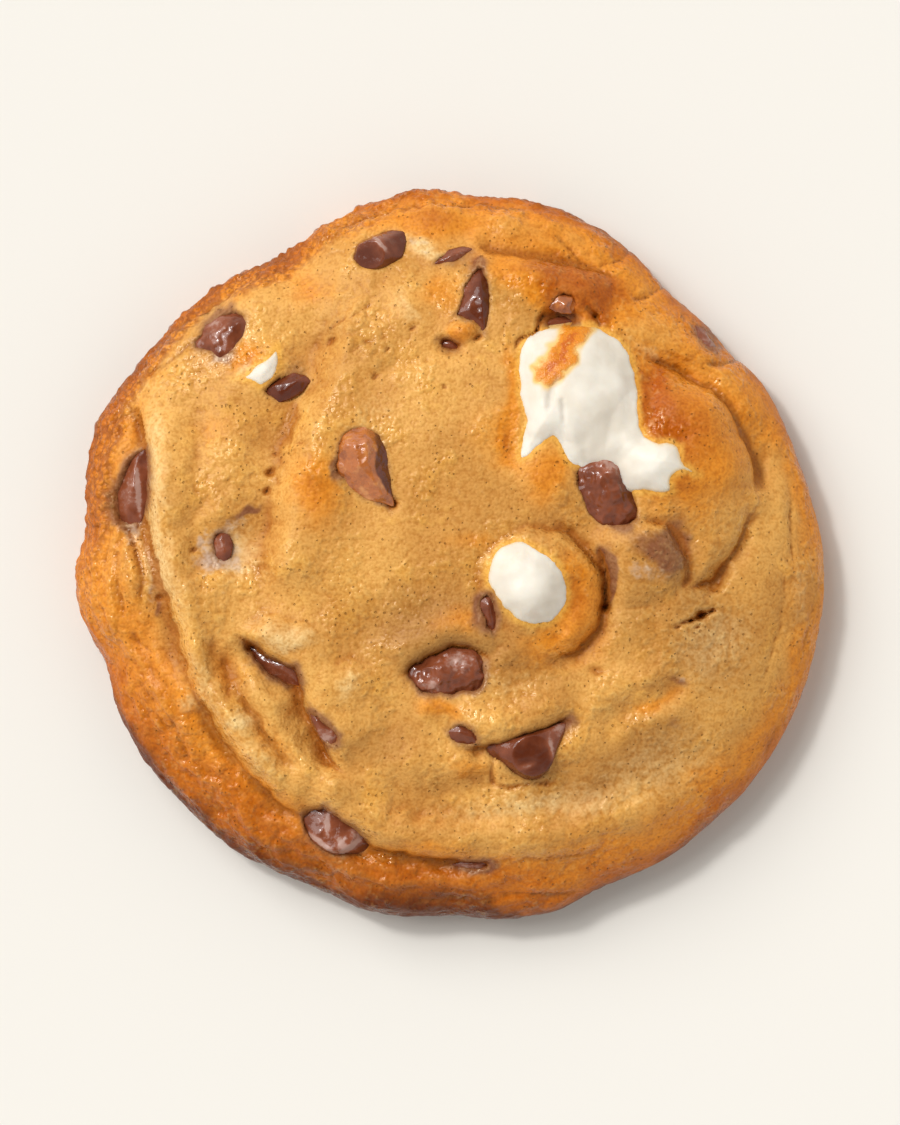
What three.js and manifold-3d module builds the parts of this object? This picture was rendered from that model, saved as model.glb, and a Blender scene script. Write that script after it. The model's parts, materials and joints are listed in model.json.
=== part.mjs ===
// A thick soft-baked cookie with chocolate chunks and toasted marshmallow, built at its real size.
// Units are millimetres and +Z is up. The origin is at the centre of the flat underside, and the
// cookie lies as it does on a table, seen from above with +X to the right and +Y to the top.
import * as THREE from "three";
import { mergeVertices } from "three/addons/utils/BufferGeometryUtils.js";
import Module from "manifold-3d";

const wasm = await Module();
wasm.setup();

// Driving dimensions of the dough.
const MEAN_RADIUS = 52.5;
const CROWN_HEIGHT = 19.5;
const WIDEST_HEIGHT = 4.6; // height of the line where the edge bulges out furthest
const FOOT_INSET = 0.06; // how far the underside draws in from the widest line, as a share
const CROWN_POWER = 2.6; // how flat the crown stays before it falls to the edge
const SHOULDER = 0.95; // share of the radius where the top turns into the side
const POCKET_GAP = 0.3; // clearance between the dough and each piece baked into it

// How finely the dough is divided: squares across the top, drawn a little towards the edge, and
// levels down the side, from the shoulder (1) past the widest line (0) to the foot (-1).
const TOP_DIVISIONS = 46;
const TOP_SPREAD = 0.9;
const SIDE_LEVELS = [1, 0.68, 0.34, 0, -0.55, -1];

// The outline swells and draws in round the cookie: heading in degrees, spread in degrees, rise in mm.
const LOBES = [
  { heading: -30, spread: 27, rise: 3.2 },
  { heading: -2, spread: 13, rise: 1.4 },
  { heading: 36, spread: 4, rise: -1.1 },
  { heading: 47, spread: 12, rise: -2.6 },
  { heading: 79, spread: 5, rise: 0.5 },
  { heading: 95, spread: 7, rise: 1.2 },
  { heading: 119, spread: 9, rise: -2.3 },
  { heading: 141, spread: 6, rise: 0.6 },
  { heading: 160, spread: 14, rise: 2.3 },
  { heading: 176, spread: 4, rise: -0.6 },
  { heading: 186, spread: 9, rise: 2.7 },
  { heading: 198, spread: 4, rise: -0.5 },
  { heading: 212, spread: 13, rise: 1.8 },
  { heading: 234, spread: 10, rise: 1.3 },
  { heading: 258, spread: 7, rise: 1.3 },
  { heading: 284, spread: 10, rise: 2.2 },
  { heading: 304, spread: 9, rise: 0.9 },
];

// Where one layer of dough laps over the next. Each runs with the raised layer on its left, whose
// rounded lip is "lip" mm wide: it stands "rise" above the dough and levels out over "near" mm, and
// on the right the dough lies "drop" below over "far" mm.
const LAPS = [
  { name: "left roll", rise: 1.6, lip: 3.2, near: 6, drop: 2.4, far: 2.6,
    path: [[-46.5, 25], [-44.5, 16], [-44.1, 5], [-41.6, -4], [-39.4, -13], [-37.4, -20]] },
  { name: "lower left roll", rise: 1.4, lip: 3, near: 5, drop: 2.2, far: 2.6,
    path: [[-38.5, -17], [-33, -27], [-29.3, -32], [-25.5, -35.8], [-20, -38.4]] },
  { name: "bottom roll", rise: 1.3, lip: 2.6, near: 4, drop: 2.4, far: 3,
    path: [[-22, -36.2], [-17, -38.6], [-11, -42.6], [-4, -44.6], [8, -44.8]] },
  { name: "plateau edge", rise: 1.3, lip: 4.5, near: 6, drop: 1.9, far: 4.5,
    path: [[-16, 39], [-19.5, 31], [-24.5, 17], [-27, 4], [-28.3, -3], [-26.5, -10]] },
  { name: "chunk fold", rise: 1.5, lip: 2.4, near: 4, drop: 2.2, far: 2.4,
    path: [[-31, -11.5], [-28.5, -13.9], [-24, -16.6], [-20.6, -23.6], [-17.4, -29.4], [-12, -34]] },
  { name: "plateau foot", rise: 0.7, lip: 2.5, near: 4, drop: 1.1, far: 3,
    path: [[-13, -33.8], [-3, -35], [12, -33.4], [21, -31.8]] },
  { name: "lip over the glossy chunk", rise: 1.4, lip: 2, near: 3, drop: 1.6, far: 2.5,
    path: [[1, -28.4], [9, -27.2], [13, -25.6], [19, -23.2]] },
  { name: "lip over the centre chunk", rise: 1, lip: 2, near: 3, drop: 1.6, far: 2.5,
    path: [[-8, -18.5], [-4.8, -15.6], [2, -13.6], [7, -15]] },
  { name: "rim crust, upper left", rise: 1, lip: 2.5, near: 4, drop: 1.6, far: 2.8,
    path: [[-24, 43.8], [-34, 36.8], [-40, 33], [-44, 29], [-47, 22]] },
  { name: "rim crust, top", rise: 0.6, lip: 1.8, near: 3, drop: 1.3, far: 2.5,
    path: [[14, 49.6], [2, 51], [-8, 50.3], [-20, 46]] },
  { name: "upper right crease", rise: 0.9, lip: 2.5, near: 4, drop: 1.4, far: 2.5,
    path: [[25, 40.3], [14, 42.4], [3, 44.8]] },
  { name: "round the toasted dome", rise: 1.1, lip: 3, near: 4, drop: 2.4, far: 2.2,
    path: [[44.6, 8], [43.8, 14], [41.5, 19.8], [36.5, 24.6], [26, 29.3]] },
  { name: "under the dome", rise: 0.8, lip: 3, near: 3, drop: 1.3, far: 2,
    path: [[34.5, -5.5], [38.5, -3.2], [42, 2], [44.6, 8]] },
  { name: "edge of the toasted ring", rise: 1, lip: 2, near: 3, drop: 1.4, far: 1.8,
    path: [[13, -16], [18, -14.6], [22, -6], [20.8, -1.5], [16.5, 2.8], [10, 3.6]] },
  { name: "edge of the lump", rise: 0.7, lip: 1.6, near: 3, drop: 1.2, far: 1.6,
    path: [[34, -5.8], [34.4, -1.5], [31.8, 3.4], [27, 5.4]] },
  { name: "lower right fold", rise: 0.7, lip: 2.2, near: 3, drop: 1.4, far: 2.4,
    path: [[21, -25.6], [25.5, -22.8], [29, -20.6], [36, -17.8]] },
];

// Soft rolls, raised, and creases, sunk: "height" at the middle and "width" to where it fades.
const ROLLS = [
  { name: "outer roll by the dome", height: 1.1, width: 2.4,
    path: [[46.5, 17], [41, 24], [33, 30], [23, 34.5]] },
  { name: "bottom ridge", height: 1, width: 2.6,
    path: [[-17, -36.5], [-5, -40.8], [6, -42], [16, -41.4], [28, -37.5], [39, -29]] },
  { name: "inner fold roll", height: 1, width: 2,
    path: [[-32, -15.5], [-27.5, -21.5], [-19, -32.4], [-12, -36.2]] },
  { name: "gold ridge", height: 1.6, width: 2.4,
    path: [[-42, 24], [-41.6, 6], [-39, -8], [-35, -19], [-29.6, -27.6], [-21, -35.6]] },
  { name: "roll between the chunks", height: 0.9, width: 1.9,
    path: [[-5.5, -21.4], [-1, -22.4], [4, -23.2], [10, -24.8]] },
  { name: "lower right ridge", height: 0.6, width: 1.8, path: [[22, -27], [28, -24.3], [36, -22.6]] },
  { name: "orange saddle", height: 0.7, width: 3, path: [[2, 41.5], [13, 40], [24, 36]] },
  { name: "left rim roll", height: 0.5, width: 2.5, path: [[-51, 17], [-51.5, 6], [-50.5, -4], [-47, -16]] },
  { name: "rim crease, left", height: -1, width: 1.7, path: [[-48.8, 15], [-49.2, 7], [-45.2, -3], [-45, -9]] },
  { name: "inner left crease", height: -1.5, width: 2.4,
    path: [[-36.5, -9], [-33, -16], [-27.2, -25.4], [-20.5, -34]] },
  { name: "left valley", height: -1, width: 3.2, path: [[-37.5, 24], [-36.5, 12], [-37, 2], [-35.5, -7]] },
  { name: "bottom valley", height: -1, width: 2.2,
    path: [[-14, -34.6], [-5, -37.4], [6, -38.3], [17, -37], [28, -32]] },
  { name: "outer left crease", height: -0.9, width: 1.8, path: [[-43.5, -20.5], [-40.5, -25], [-37.6, -31.5]] },
  { name: "crevice by the lump", height: -1.9, width: 1.6, path: [[21.8, 1.5], [22, -2.5], [22.8, -9.5]] },
  { name: "crease, upper left", height: -0.8, width: 1.8, path: [[-44.5, 25.5], [-40.5, 28], [-37, 30.5]] },
  { name: "crease, top right", height: -0.8, width: 1.8, path: [[26, 39.5], [18, 44.2], [14.5, 47.5]] },
  { name: "right rim line", height: -0.6, width: 1.7, path: [[49.6, 12], [50.2, 5.5], [49.8, -2]] },
  { name: "torn split", height: -1.4, width: 1.8, path: [[32.2, -10.6], [36, -9.4], [38, -8.2]] },
  { name: "understep", height: -0.9, width: 1.6, path: [[-7, -51.5], [8, -50.6], [23, -49.6]] },
  { name: "top right notch", height: -0.8, width: 1.6, path: [[27.5, 46], [25, 43.3], [22, 41.8]] },
  { name: "side notch", height: -0.9, width: 1.7, path: [[43, 29], [40, 27.4], [36.5, 27.8]] },
];

// Domes and hollows: where, how far across each way, heading of the long way, and height.
const SWELLS = [
  { name: "plateau", at: [-4, 8], reach: [26, 24], heading: 0, height: 0.9 },
  { name: "under the larger marshmallow", at: [19.4, 23], reach: [9.6, 11.5], heading: 8, height: 3 },
  { name: "under its leg", at: [12.4, 18], reach: [4, 6], heading: 10, height: 0.8 },
  { name: "under its flow", at: [29.8, 12.4], reach: [6, 5], heading: 0, height: 0.9 },
  { name: "under the smaller marshmallow", at: [11.3, -4.3], reach: [7.4, 8], heading: 25, height: 2.2 },
  { name: "under the white wedge", at: [-26.6, 27], reach: [5, 3], heading: 52, height: 0.6 },
  { name: "toasted dome", at: [34.5, 14.5], reach: [12, 12.5], heading: 0, height: 3.6 },
  { name: "buried lump", at: [28, -0.5], reach: [8.2, 7.6], heading: 20, height: 2.6 },
  { name: "toasted ring", at: [13.8, -6], reach: [10, 10.5], heading: 0, height: 1.6 },
  { name: "toasted peak", at: [15, 11.5], reach: [5, 7], heading: 60, height: 1 },
  { name: "bright bump", at: [-15, -19], reach: [4.5, 4], heading: 0, height: 0.9 },
  { name: "fold bump", at: [-24, -11.5], reach: [5, 2.6], heading: -15, height: 0.9 },
  { name: "caramel shoulder", at: [-18.5, 11.5], reach: [4.5, 7], heading: 0, height: 0.7 },
  { name: "left field", at: [-36, 12], reach: [9, 14], heading: 80, height: 0.7 },
  { name: "left knoll", at: [-38, -21.5], reach: [2.8, 2.2], heading: 30, height: 0.6 },
  { name: "lower left knoll", at: [-30, -24], reach: [3.4, 2.4], heading: -50, height: 0.7 },
  { name: "recess", at: [16, 34], reach: [4, 2.2], heading: 0, height: -2.2 },
  { name: "pocket by the tall chunk", at: [0.2, 30.2], reach: [3.2, 2.2], heading: 0, height: -1.1 },
  { name: "hollow of the frosted chip", at: [-33.3, 0.6], reach: [5.2, 5], heading: 0, height: -1.2 },
  { name: "hollow under the dome", at: [38.6, -3.7], reach: [3.2, 2.4], heading: 25, height: -1.1 },
  { name: "torn hole", at: [36.4, -9.2], reach: [2.2, 1.8], heading: 20, height: -2.2 },
];

// The soft unevenness of baked dough: wave length in mm, height, and heading in degrees.
const RIPPLES = [
  { length: 23, height: 0.28, heading: 18 },
  { length: 17, height: 0.24, heading: 96 },
  { length: 11, height: 0.16, heading: -41 },
  { length: 8.3, height: 0.12, heading: 63 },
];

// Finishes, by the look of each material once baked.
const FINISHES = {
  dough: { color: 0xd69a55, roughness: 0.62 },
  chocolate: { color: 0x5f3220, roughness: 0.38 },
  caramel: { color: 0xa5572a, roughness: 0.3 },
  marshmallow: { color: 0xf4ead8, roughness: 0.55 },
};

// The pieces baked into the dough. Each is one or more rounded lumps: "size" is length, width and
// thickness, "lift" is how far its top stands above the dough, "square" makes it blockier than an
// egg, "taper" makes its far end slimmer, and "tip" leans it over, in degrees, across its length.
const PIECES = [
  { name: "chip_top", finish: "chocolate", lumps: [
    { at: [-10.5, 44.1], size: [8.6, 6.4, 5.6], heading: 24, lift: 1.4, square: 2.8, tip: -12 }] },
  { name: "chunk_upper_left", finish: "chocolate", lumps: [
    { at: [-33.4, 31.9], size: [9.6, 6.6, 5.4], heading: 36, lift: 1, square: 2.5, tip: 10 }] },
  { name: "chip_wedge", finish: "chocolate", lumps: [
    { at: [-23.9, 24.1], size: [8, 4.8, 4.4], heading: 14, lift: 0.8, square: 2.2 }] },
  { name: "chunk_caramel", finish: "caramel", lumps: [
    { at: [-12.1, 12.5], size: [12, 7.6, 7], heading: -62, lift: 2.6, square: 2.3, taper: -0.22 }] },
  { name: "chunk_left_rim", finish: "chocolate", lumps: [
    { at: [-46.6, 9.8], size: [13, 5.4, 6], heading: 84, lift: 0.9, square: 2.2, tip: -14 }] },
  { name: "chip_frosted", finish: "chocolate", lumps: [
    { at: [-33.2, 1.3], size: [5.4, 4.6, 4.2], heading: 70, lift: 0.9, square: 2.2 }] },
  { name: "chunk_fold", finish: "chocolate", lumps: [
    { at: [-25.6, -17.2], size: [9.6, 4.2, 4.4], heading: -33, lift: 1.3, square: 2.4 }] },
  { name: "sliver_fold", finish: "chocolate", lumps: [
    { at: [-18.6, -27.6], size: [7.4, 2.8, 3.6], heading: -58, lift: 1, square: 2.2 }] },
  { name: "chunk_centre", finish: "chocolate", lumps: [
    { at: [-2.9, -17.7], size: [7, 6.4, 5.4], heading: 10, lift: 1.2, square: 2.5 },
    { at: [2.1, -17.2], size: [6.8, 6.6, 5.4], heading: -20, lift: 1.4, square: 2.4 }] },
  { name: "chip_centre", finish: "chocolate", lumps: [
    { at: [2.2, -26.4], size: [5.6, 3.6, 3.8], heading: -18, lift: 0.8, square: 2.2 }] },
  { name: "chunk_glossy", finish: "chocolate", lumps: [
    { at: [10.9, -29.4], size: [9.4, 7.6, 6.4], heading: 28, lift: 1.9, square: 2.9, tip: -12 },
    { at: [15.4, -26.1], size: [5, 3, 3.6], heading: 42, lift: 1, square: 2.2 }] },
  { name: "chunk_lower_left", finish: "chocolate", lumps: [
    { at: [-17, -40.8], size: [9.8, 7.4, 6], heading: -28, lift: 1.6, square: 2.5, tip: 12 }] },
  { name: "chunk_tall", finish: "chocolate", lumps: [
    { at: [3.7, 37.3], size: [11, 5.4, 5.4], heading: 82, lift: 1.2, square: 2.4 }] },
  { name: "flake_top", finish: "chocolate", lumps: [
    { at: [0.2, 43.3], size: [7, 2.8, 3], heading: 14, lift: 0.7, square: 2 }] },
  { name: "chip_hollow", finish: "chocolate", lumps: [
    { at: [0.2, 30.2], size: [4.6, 2.8, 3], heading: 6, lift: 0.7, square: 2 }] },
  { name: "chip_recess", finish: "chocolate", lumps: [
    { at: [16, 34], size: [5.6, 2.6, 3.4], heading: -4, lift: 1, square: 2.2 }] },
  { name: "crumb_caramel", finish: "caramel", lumps: [
    { at: [16.5, 37.2], size: [4.4, 3.6, 3.6], heading: 20, lift: 1.5, square: 2.4 }] },
  { name: "chunk_marshmallow", finish: "chocolate", lumps: [
    { at: [22.5, 8.7], size: [10.6, 9, 7], heading: 68, lift: 2.4, square: 2.6 }] },
  { name: "chip_marshmallow", finish: "chocolate", lumps: [
    { at: [4.9, -8.6], size: [6, 2.6, 3.8], heading: 112, lift: 1.1, square: 2.2 }] },
  { name: "chip_lower_edge", finish: "chocolate", lumps: [
    { at: [3.4, -45.7], size: [5.6, 2.6, 3.2], heading: 6, lift: 1.1, square: 2 }] },
  { name: "chunk_side", finish: "chocolate", lumps: [
    { at: [38.2, 31.7], size: [6.4, 3.2, 4], heading: -50, lift: 0.9, square: 2.2 }] },
  { name: "marshmallow_large", finish: "marshmallow", fine: true, lumps: [
    { at: [18.7, 23.4], size: [18.4, 20.6, 10], heading: 12, lift: 1.2, square: 2.2 },
    { at: [13.2, 17], size: [7, 9.4, 6], heading: 20, lift: 0.7, square: 2.1 },
    { at: [25.4, 17.4], size: [9, 7, 6], heading: -40, lift: 0.8, square: 2.1 },
    { at: [30, 12.4], size: [11.6, 8.2, 6], heading: 4, lift: 0.8, square: 2.1 }] },
  { name: "marshmallow_small", finish: "marshmallow", fine: true, lumps: [
    { at: [11.3, -4.3], size: [12.8, 13.6, 9], heading: 25, lift: 1.1, square: 2.2 }] },
  { name: "marshmallow_wedge", finish: "marshmallow", lumps: [
    { at: [-26.9, 27.3], size: [8, 4.2, 4], heading: 52, lift: 0.7, square: 2 }] },
];

const radians = THREE.MathUtils.degToRad;
const smoothstep = THREE.MathUtils.smoothstep;

// The cookie's radius in a direction, with every lobe of the outline.
function outlineRadius(angle) {
  let radius = MEAN_RADIUS;
  for (const lobe of LOBES) {
    const turn = THREE.MathUtils.euclideanModulo(angle - radians(lobe.heading) + Math.PI, 2 * Math.PI) - Math.PI;
    radius += lobe.rise * Math.exp(-((turn / radians(lobe.spread)) ** 2));
  }
  return radius;
}

// Height of the bare crown, before its relief, at a share of the radius.
function crownHeight(share) {
  const fall = Math.max(0, 1 - Math.min(share, 1) ** CROWN_POWER);
  return WIDEST_HEIGHT + (CROWN_HEIGHT - WIDEST_HEIGHT) * Math.sqrt(fall);
}

// A smooth line through a few points, as short straight steps for measuring distance from it.
function smoothPath(points) {
  const curve = new THREE.SplineCurve(points.map(([x, y]) => new THREE.Vector2(x, y)));
  return curve.getPoints(6 * (points.length - 1));
}
for (const feature of [...LAPS, ...ROLLS]) feature.line = smoothPath(feature.path);

// Signed distance from a line (left is positive) and how far along it the nearest point is.
function measureFrom(line, x, y) {
  let best = { distance: Infinity, side: 1, along: 0 };
  for (let i = 0; i < line.length - 1; i++) {
    const a = line[i];
    const dx = line[i + 1].x - a.x;
    const dy = line[i + 1].y - a.y;
    const along = THREE.MathUtils.clamp(((x - a.x) * dx + (y - a.y) * dy) / (dx * dx + dy * dy), 0, 1);
    const offX = x - a.x - along * dx;
    const offY = y - a.y - along * dy;
    const distance = Math.hypot(offX, offY);
    if (distance < best.distance) {
      best = { distance, side: Math.sign(dx * offY - dy * offX) || 1, along: (i + along) / (line.length - 1) };
    }
  }
  return best;
}

// A line's strength fades out towards both of its ends.
const fadeEnds = (along) => smoothstep(along, 0, 0.2) * (1 - smoothstep(along, 0.8, 1));

// A quarter round: steep at 0 and level at 1.
const roundLip = (t) => Math.sqrt(1 - (1 - THREE.MathUtils.clamp(t, 0, 1)) ** 2);

function lapHeight(lap, x, y) {
  const { distance, side, along } = measureFrom(lap.line, x, y);
  const lip = THREE.MathUtils.lerp(-lap.drop, lap.rise, roundLip(distance / lap.lip));
  const raised = lip * Math.exp(-((Math.max(0, distance - lap.lip) / lap.near) ** 2));
  const lowered = -lap.drop * Math.exp(-((distance / lap.far) ** 2));
  return (side > 0 ? raised : lowered) * fadeEnds(along);
}

function rollHeight(roll, x, y) {
  const { distance, along } = measureFrom(roll.line, x, y);
  return roll.height * Math.exp(-((distance / roll.width) ** 2)) * fadeEnds(along);
}

function swellHeight(swell, x, y) {
  const heading = radians(swell.heading);
  const dx = x - swell.at[0];
  const dy = y - swell.at[1];
  const u = (dx * Math.cos(heading) + dy * Math.sin(heading)) / swell.reach[0];
  const v = (dy * Math.cos(heading) - dx * Math.sin(heading)) / swell.reach[1];
  return swell.height * Math.max(0, 1 - u * u - v * v) ** 1.3;
}

// All the relief of the dough at a place seen from above.
function relief(x, y) {
  let height = 0;
  for (const lap of LAPS) height += lapHeight(lap, x, y);
  for (const roll of ROLLS) height += rollHeight(roll, x, y);
  for (const swell of SWELLS) height += swellHeight(swell, x, y);
  for (const ripple of RIPPLES) {
    const across = x * Math.cos(radians(ripple.heading)) + y * Math.sin(radians(ripple.heading));
    height += ripple.height * Math.sin((2 * Math.PI * across) / ripple.length + ripple.length);
  }
  return height;
}

function doughHeight(x, y) {
  return crownHeight(Math.hypot(x, y) / outlineRadius(Math.atan2(y, x))) + relief(x, y);
}

// Where a place on a square (u, v from -1 to 1) goes when the square is spread to a disc.
function discAngle(u, v) {
  const quarter = Math.PI / 4;
  const sideways = Math.abs(u) >= Math.abs(v);
  if (u === 0 && v === 0) return 0;
  if (sideways) return (quarter * v) / u + (u < 0 ? Math.PI : 0);
  return 2 * quarter - (quarter * u) / v + (v < 0 ? Math.PI : 0);
}

// Radius (as a share) and height of the bare dough, down the side. Level 1 is the shoulder, 0 the
// widest line and -1 the foot: the crown's own curve first, then a quarter round to the underside.
function sideProfile(level) {
  if (level > 0) {
    const height = THREE.MathUtils.lerp(WIDEST_HEIGHT, crownHeight(SHOULDER), level);
    const rise = (height - WIDEST_HEIGHT) / (CROWN_HEIGHT - WIDEST_HEIGHT);
    return { share: (1 - rise * rise) ** (1 / CROWN_POWER), height };
  }
  return { share: 1 - FOOT_INSET * (1 - Math.sqrt(1 - level * level)), height: WIDEST_HEIGHT * (1 + level) };
}

// The dough starts as a divided box: its top spreads to a disc, its sides bulge to the edge, and
// its floor is a fan of triangles on the table.
function doughGeometry() {
  const box = new THREE.BoxGeometry(2, 2, 2, TOP_DIVISIONS, TOP_DIVISIONS, SIDE_LEVELS.length - 1);
  const floor = box.groups[5];
  const corners = Array.from(box.index.array);
  corners.splice(floor.start, floor.count);
  box.setIndex(corners);
  const shell = mergeVertices(bare(box).toNonIndexed());
  const places = shell.attributes.position;
  const foot = [];
  for (let i = 0; i < places.count; i++) {
    const [u, v, w] = [places.getX(i), places.getY(i), places.getZ(i)];
    const angle = discAngle(u, v);
    const step = Math.round(((1 - w) / 2) * (SIDE_LEVELS.length - 1));
    const topShare = SHOULDER * Math.max(Math.abs(u), Math.abs(v)) ** TOP_SPREAD;
    const profile = step > 0 ? sideProfile(SIDE_LEVELS[step]) : { share: topShare, height: crownHeight(topShare) };
    const radius = profile.share * outlineRadius(angle);
    places.setXYZ(i, radius * Math.cos(angle), radius * Math.sin(angle), profile.height);
    if (step === SIDE_LEVELS.length - 1) foot.push({ i, angle: THREE.MathUtils.euclideanModulo(angle, 2 * Math.PI) });
  }
  shell.computeVertexNormals();
  raiseRelief(shell);
  foot.sort((a, b) => a.angle - b.angle);
  const middle = places.count;
  const fan = foot.flatMap(({ i }, k) => [middle, foot[(k + 1) % foot.length].i, i]);
  const closed = new THREE.BufferGeometry();
  closed.setAttribute("position", new THREE.Float32BufferAttribute([...places.array, 0, 0, 0], 3));
  closed.setIndex([...shell.index.array, ...fan]);
  return closed;
}

// The relief lifts the top straight up, and pushes the side out along its own slope. It fades out
// below the widest line, so that the underside stays flat.
function raiseRelief(geometry) {
  const places = geometry.attributes.position;
  const slopes = geometry.attributes.normal;
  const up = new THREE.Vector3(0, 0, 1);
  for (let i = 0; i < places.count; i++) {
    const place = new THREE.Vector3().fromBufferAttribute(places, i);
    const slope = new THREE.Vector3().fromBufferAttribute(slopes, i);
    const share = Math.hypot(place.x, place.y) / outlineRadius(Math.atan2(place.y, place.x));
    const push = up.clone().lerp(slope, smoothstep(share, 0.82, 0.96)).normalize();
    const fade = smoothstep(place.z, 0, WIDEST_HEIGHT) * (1 - 0.6 * smoothstep(share, 0.93, 1));
    place.addScaledVector(push, fade * relief(place.x, place.y));
    places.setXYZ(i, place.x, place.y, place.z);
  }
}

// A rounded, slightly irregular lump, grown all round by "extra" mm.
function lumpGeometry(lump, detail, extra = 0) {
  const geometry = mergeVertices(bare(new THREE.IcosahedronGeometry(1, detail)));
  const places = geometry.attributes.position;
  const half = lump.size.map((length) => length / 2 + extra);
  for (let i = 0; i < places.count; i++) {
    const way = new THREE.Vector3().fromBufferAttribute(places, i);
    const sum = way.toArray().reduce((total, part) => total + Math.abs(part) ** lump.square, 0);
    const dent = 1 + 0.05 * Math.sin(3 * way.x + lump.at[0]) * Math.cos(4 * way.y + lump.at[1]);
    const reach = dent / sum ** (1 / lump.square);
    const slim = 1 + (lump.taper ?? 0) * way.x;
    places.setXYZ(i, way.x * reach * half[0], way.y * reach * half[1] * slim, way.z * reach * half[2] * slim);
  }
  return geometry.applyMatrix4(lumpPlace(lump));
}

// A lump lies along its heading, leans by its tip, and is sunk until its top stands at its lift.
function lumpPlace(lump) {
  const [x, y] = lump.at;
  const z = doughHeight(x, y) + lump.lift - lump.size[2] / 2;
  const turn = new THREE.Euler(radians(lump.tip ?? 0), 0, radians(lump.heading), "ZXY");
  return new THREE.Matrix4().makeRotationFromEuler(turn).setPosition(x, y, z);
}

function bare(geometry) {
  geometry.deleteAttribute("normal");
  geometry.deleteAttribute("uv");
  return geometry;
}

// Between three.js geometry and a solid that can be cut and joined.
function toSolid(geometry) {
  const welded = mergeVertices(bare(geometry));
  const vertProperties = Float32Array.from(welded.attributes.position.array);
  const triVerts = Uint32Array.from(welded.index.array);
  return new wasm.Manifold(new wasm.Mesh({ numProp: 3, vertProperties, triVerts }));
}

function toGeometry(solid) {
  const { vertProperties, triVerts, numProp } = solid.getMesh();
  const geometry = new THREE.BufferGeometry();
  const places = new Float32Array((vertProperties.length / numProp) * 3);
  for (let i = 0; i < places.length / 3; i++) {
    for (let axis = 0; axis < 3; axis++) places[3 * i + axis] = vertProperties[numProp * i + axis];
  }
  geometry.setAttribute("position", new THREE.BufferAttribute(places, 3));
  geometry.setIndex(Array.from(triVerts));
  return geometry;
}

// A cut can leave loose scraps: only the largest body is kept.
function largestBody(solid) {
  return solid.decompose().sort((a, b) => b.volume() - a.volume())[0];
}

function pieceSolid(piece, extra = 0) {
  const detail = piece.fine ? 2 : 1;
  const lumps = piece.lumps.map((lump) => toSolid(lumpGeometry(lump, detail, extra)));
  return lumps.reduce((joined, lump) => joined.add(lump));
}

function finishedMesh(name, solid, finish) {
  const material = new THREE.MeshStandardMaterial({ ...FINISHES[finish], metalness: 0 });
  const mesh = new THREE.Mesh(toGeometry(solid), material);
  mesh.name = name;
  return mesh;
}

// Chocolate sits in the marshmallow as well as in the dough, so every piece makes room for those
// listed before it, and the dough makes room for them all.
const cookie = new THREE.Group();
let dough = toSolid(doughGeometry());
let pockets = null;
for (const piece of PIECES) {
  let solid = pieceSolid(piece);
  if (pockets) solid = largestBody(solid.subtract(pockets));
  cookie.add(finishedMesh(piece.name, solid, piece.finish));
  const pocket = pieceSolid(piece, POCKET_GAP);
  pockets = pockets ? pockets.add(pocket) : pocket;
}
dough = largestBody(dough.subtract(pockets));
cookie.add(finishedMesh("dough", dough, "dough"));

export default cookie;
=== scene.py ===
"""Looks for a thick soft-baked cookie with milk chocolate chunks and toasted marshmallow."""
import json
import math

import bpy
import numpy as np
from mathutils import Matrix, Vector, noise

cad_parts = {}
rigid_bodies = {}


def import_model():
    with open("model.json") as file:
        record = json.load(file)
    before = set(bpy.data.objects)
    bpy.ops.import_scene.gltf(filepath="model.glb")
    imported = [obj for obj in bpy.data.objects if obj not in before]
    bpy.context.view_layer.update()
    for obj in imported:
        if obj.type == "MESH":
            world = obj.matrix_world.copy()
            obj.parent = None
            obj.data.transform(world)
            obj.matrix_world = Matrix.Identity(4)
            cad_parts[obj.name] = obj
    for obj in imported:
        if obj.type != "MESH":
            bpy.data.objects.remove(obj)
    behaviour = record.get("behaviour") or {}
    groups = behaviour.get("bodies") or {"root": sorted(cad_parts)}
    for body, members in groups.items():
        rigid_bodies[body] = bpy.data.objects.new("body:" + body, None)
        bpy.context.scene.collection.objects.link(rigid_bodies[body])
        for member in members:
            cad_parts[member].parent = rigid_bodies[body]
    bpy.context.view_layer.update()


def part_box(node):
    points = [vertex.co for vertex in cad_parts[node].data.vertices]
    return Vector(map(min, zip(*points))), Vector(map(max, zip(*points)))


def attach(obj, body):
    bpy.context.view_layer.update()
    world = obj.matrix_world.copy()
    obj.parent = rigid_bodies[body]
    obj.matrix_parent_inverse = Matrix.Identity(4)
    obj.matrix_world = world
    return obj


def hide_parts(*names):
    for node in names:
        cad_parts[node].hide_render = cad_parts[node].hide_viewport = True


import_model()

# ---- The dough ------------------------------------------------------------------------------
# One thick round of soft-baked butter dough. It spread and browned at the rim while its middle
# stayed tan, and its layers lap over each other round the pieces baked into it. Sizes are mm.
MM = 0.001
MEAN_RADIUS = 52.5
CROWN_HEIGHT = 19.5
WIDEST_HEIGHT = 4.6  # of the line where the edge bulges out furthest
FOOT_INSET = 0.06  # how far the underside draws in from that line, as a share of the radius
CROWN_POWER = 2.6  # how flat the crown stays before it falls to the edge
SHOULDER = 0.95  # share of the radius where the top turns into the side
BULGE_PART = 0.62  # part of the side, from its top, that lies above the widest line
TOP_DIVISIONS = 256
TOP_SPREAD = 0.93  # below 1 the top's rows lie closer together towards the rim
SIDE_RINGS = 24
UNDER_SHARES = (0.9, 0.6, 0.25)  # rings of the underside, as shares of the radius

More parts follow.
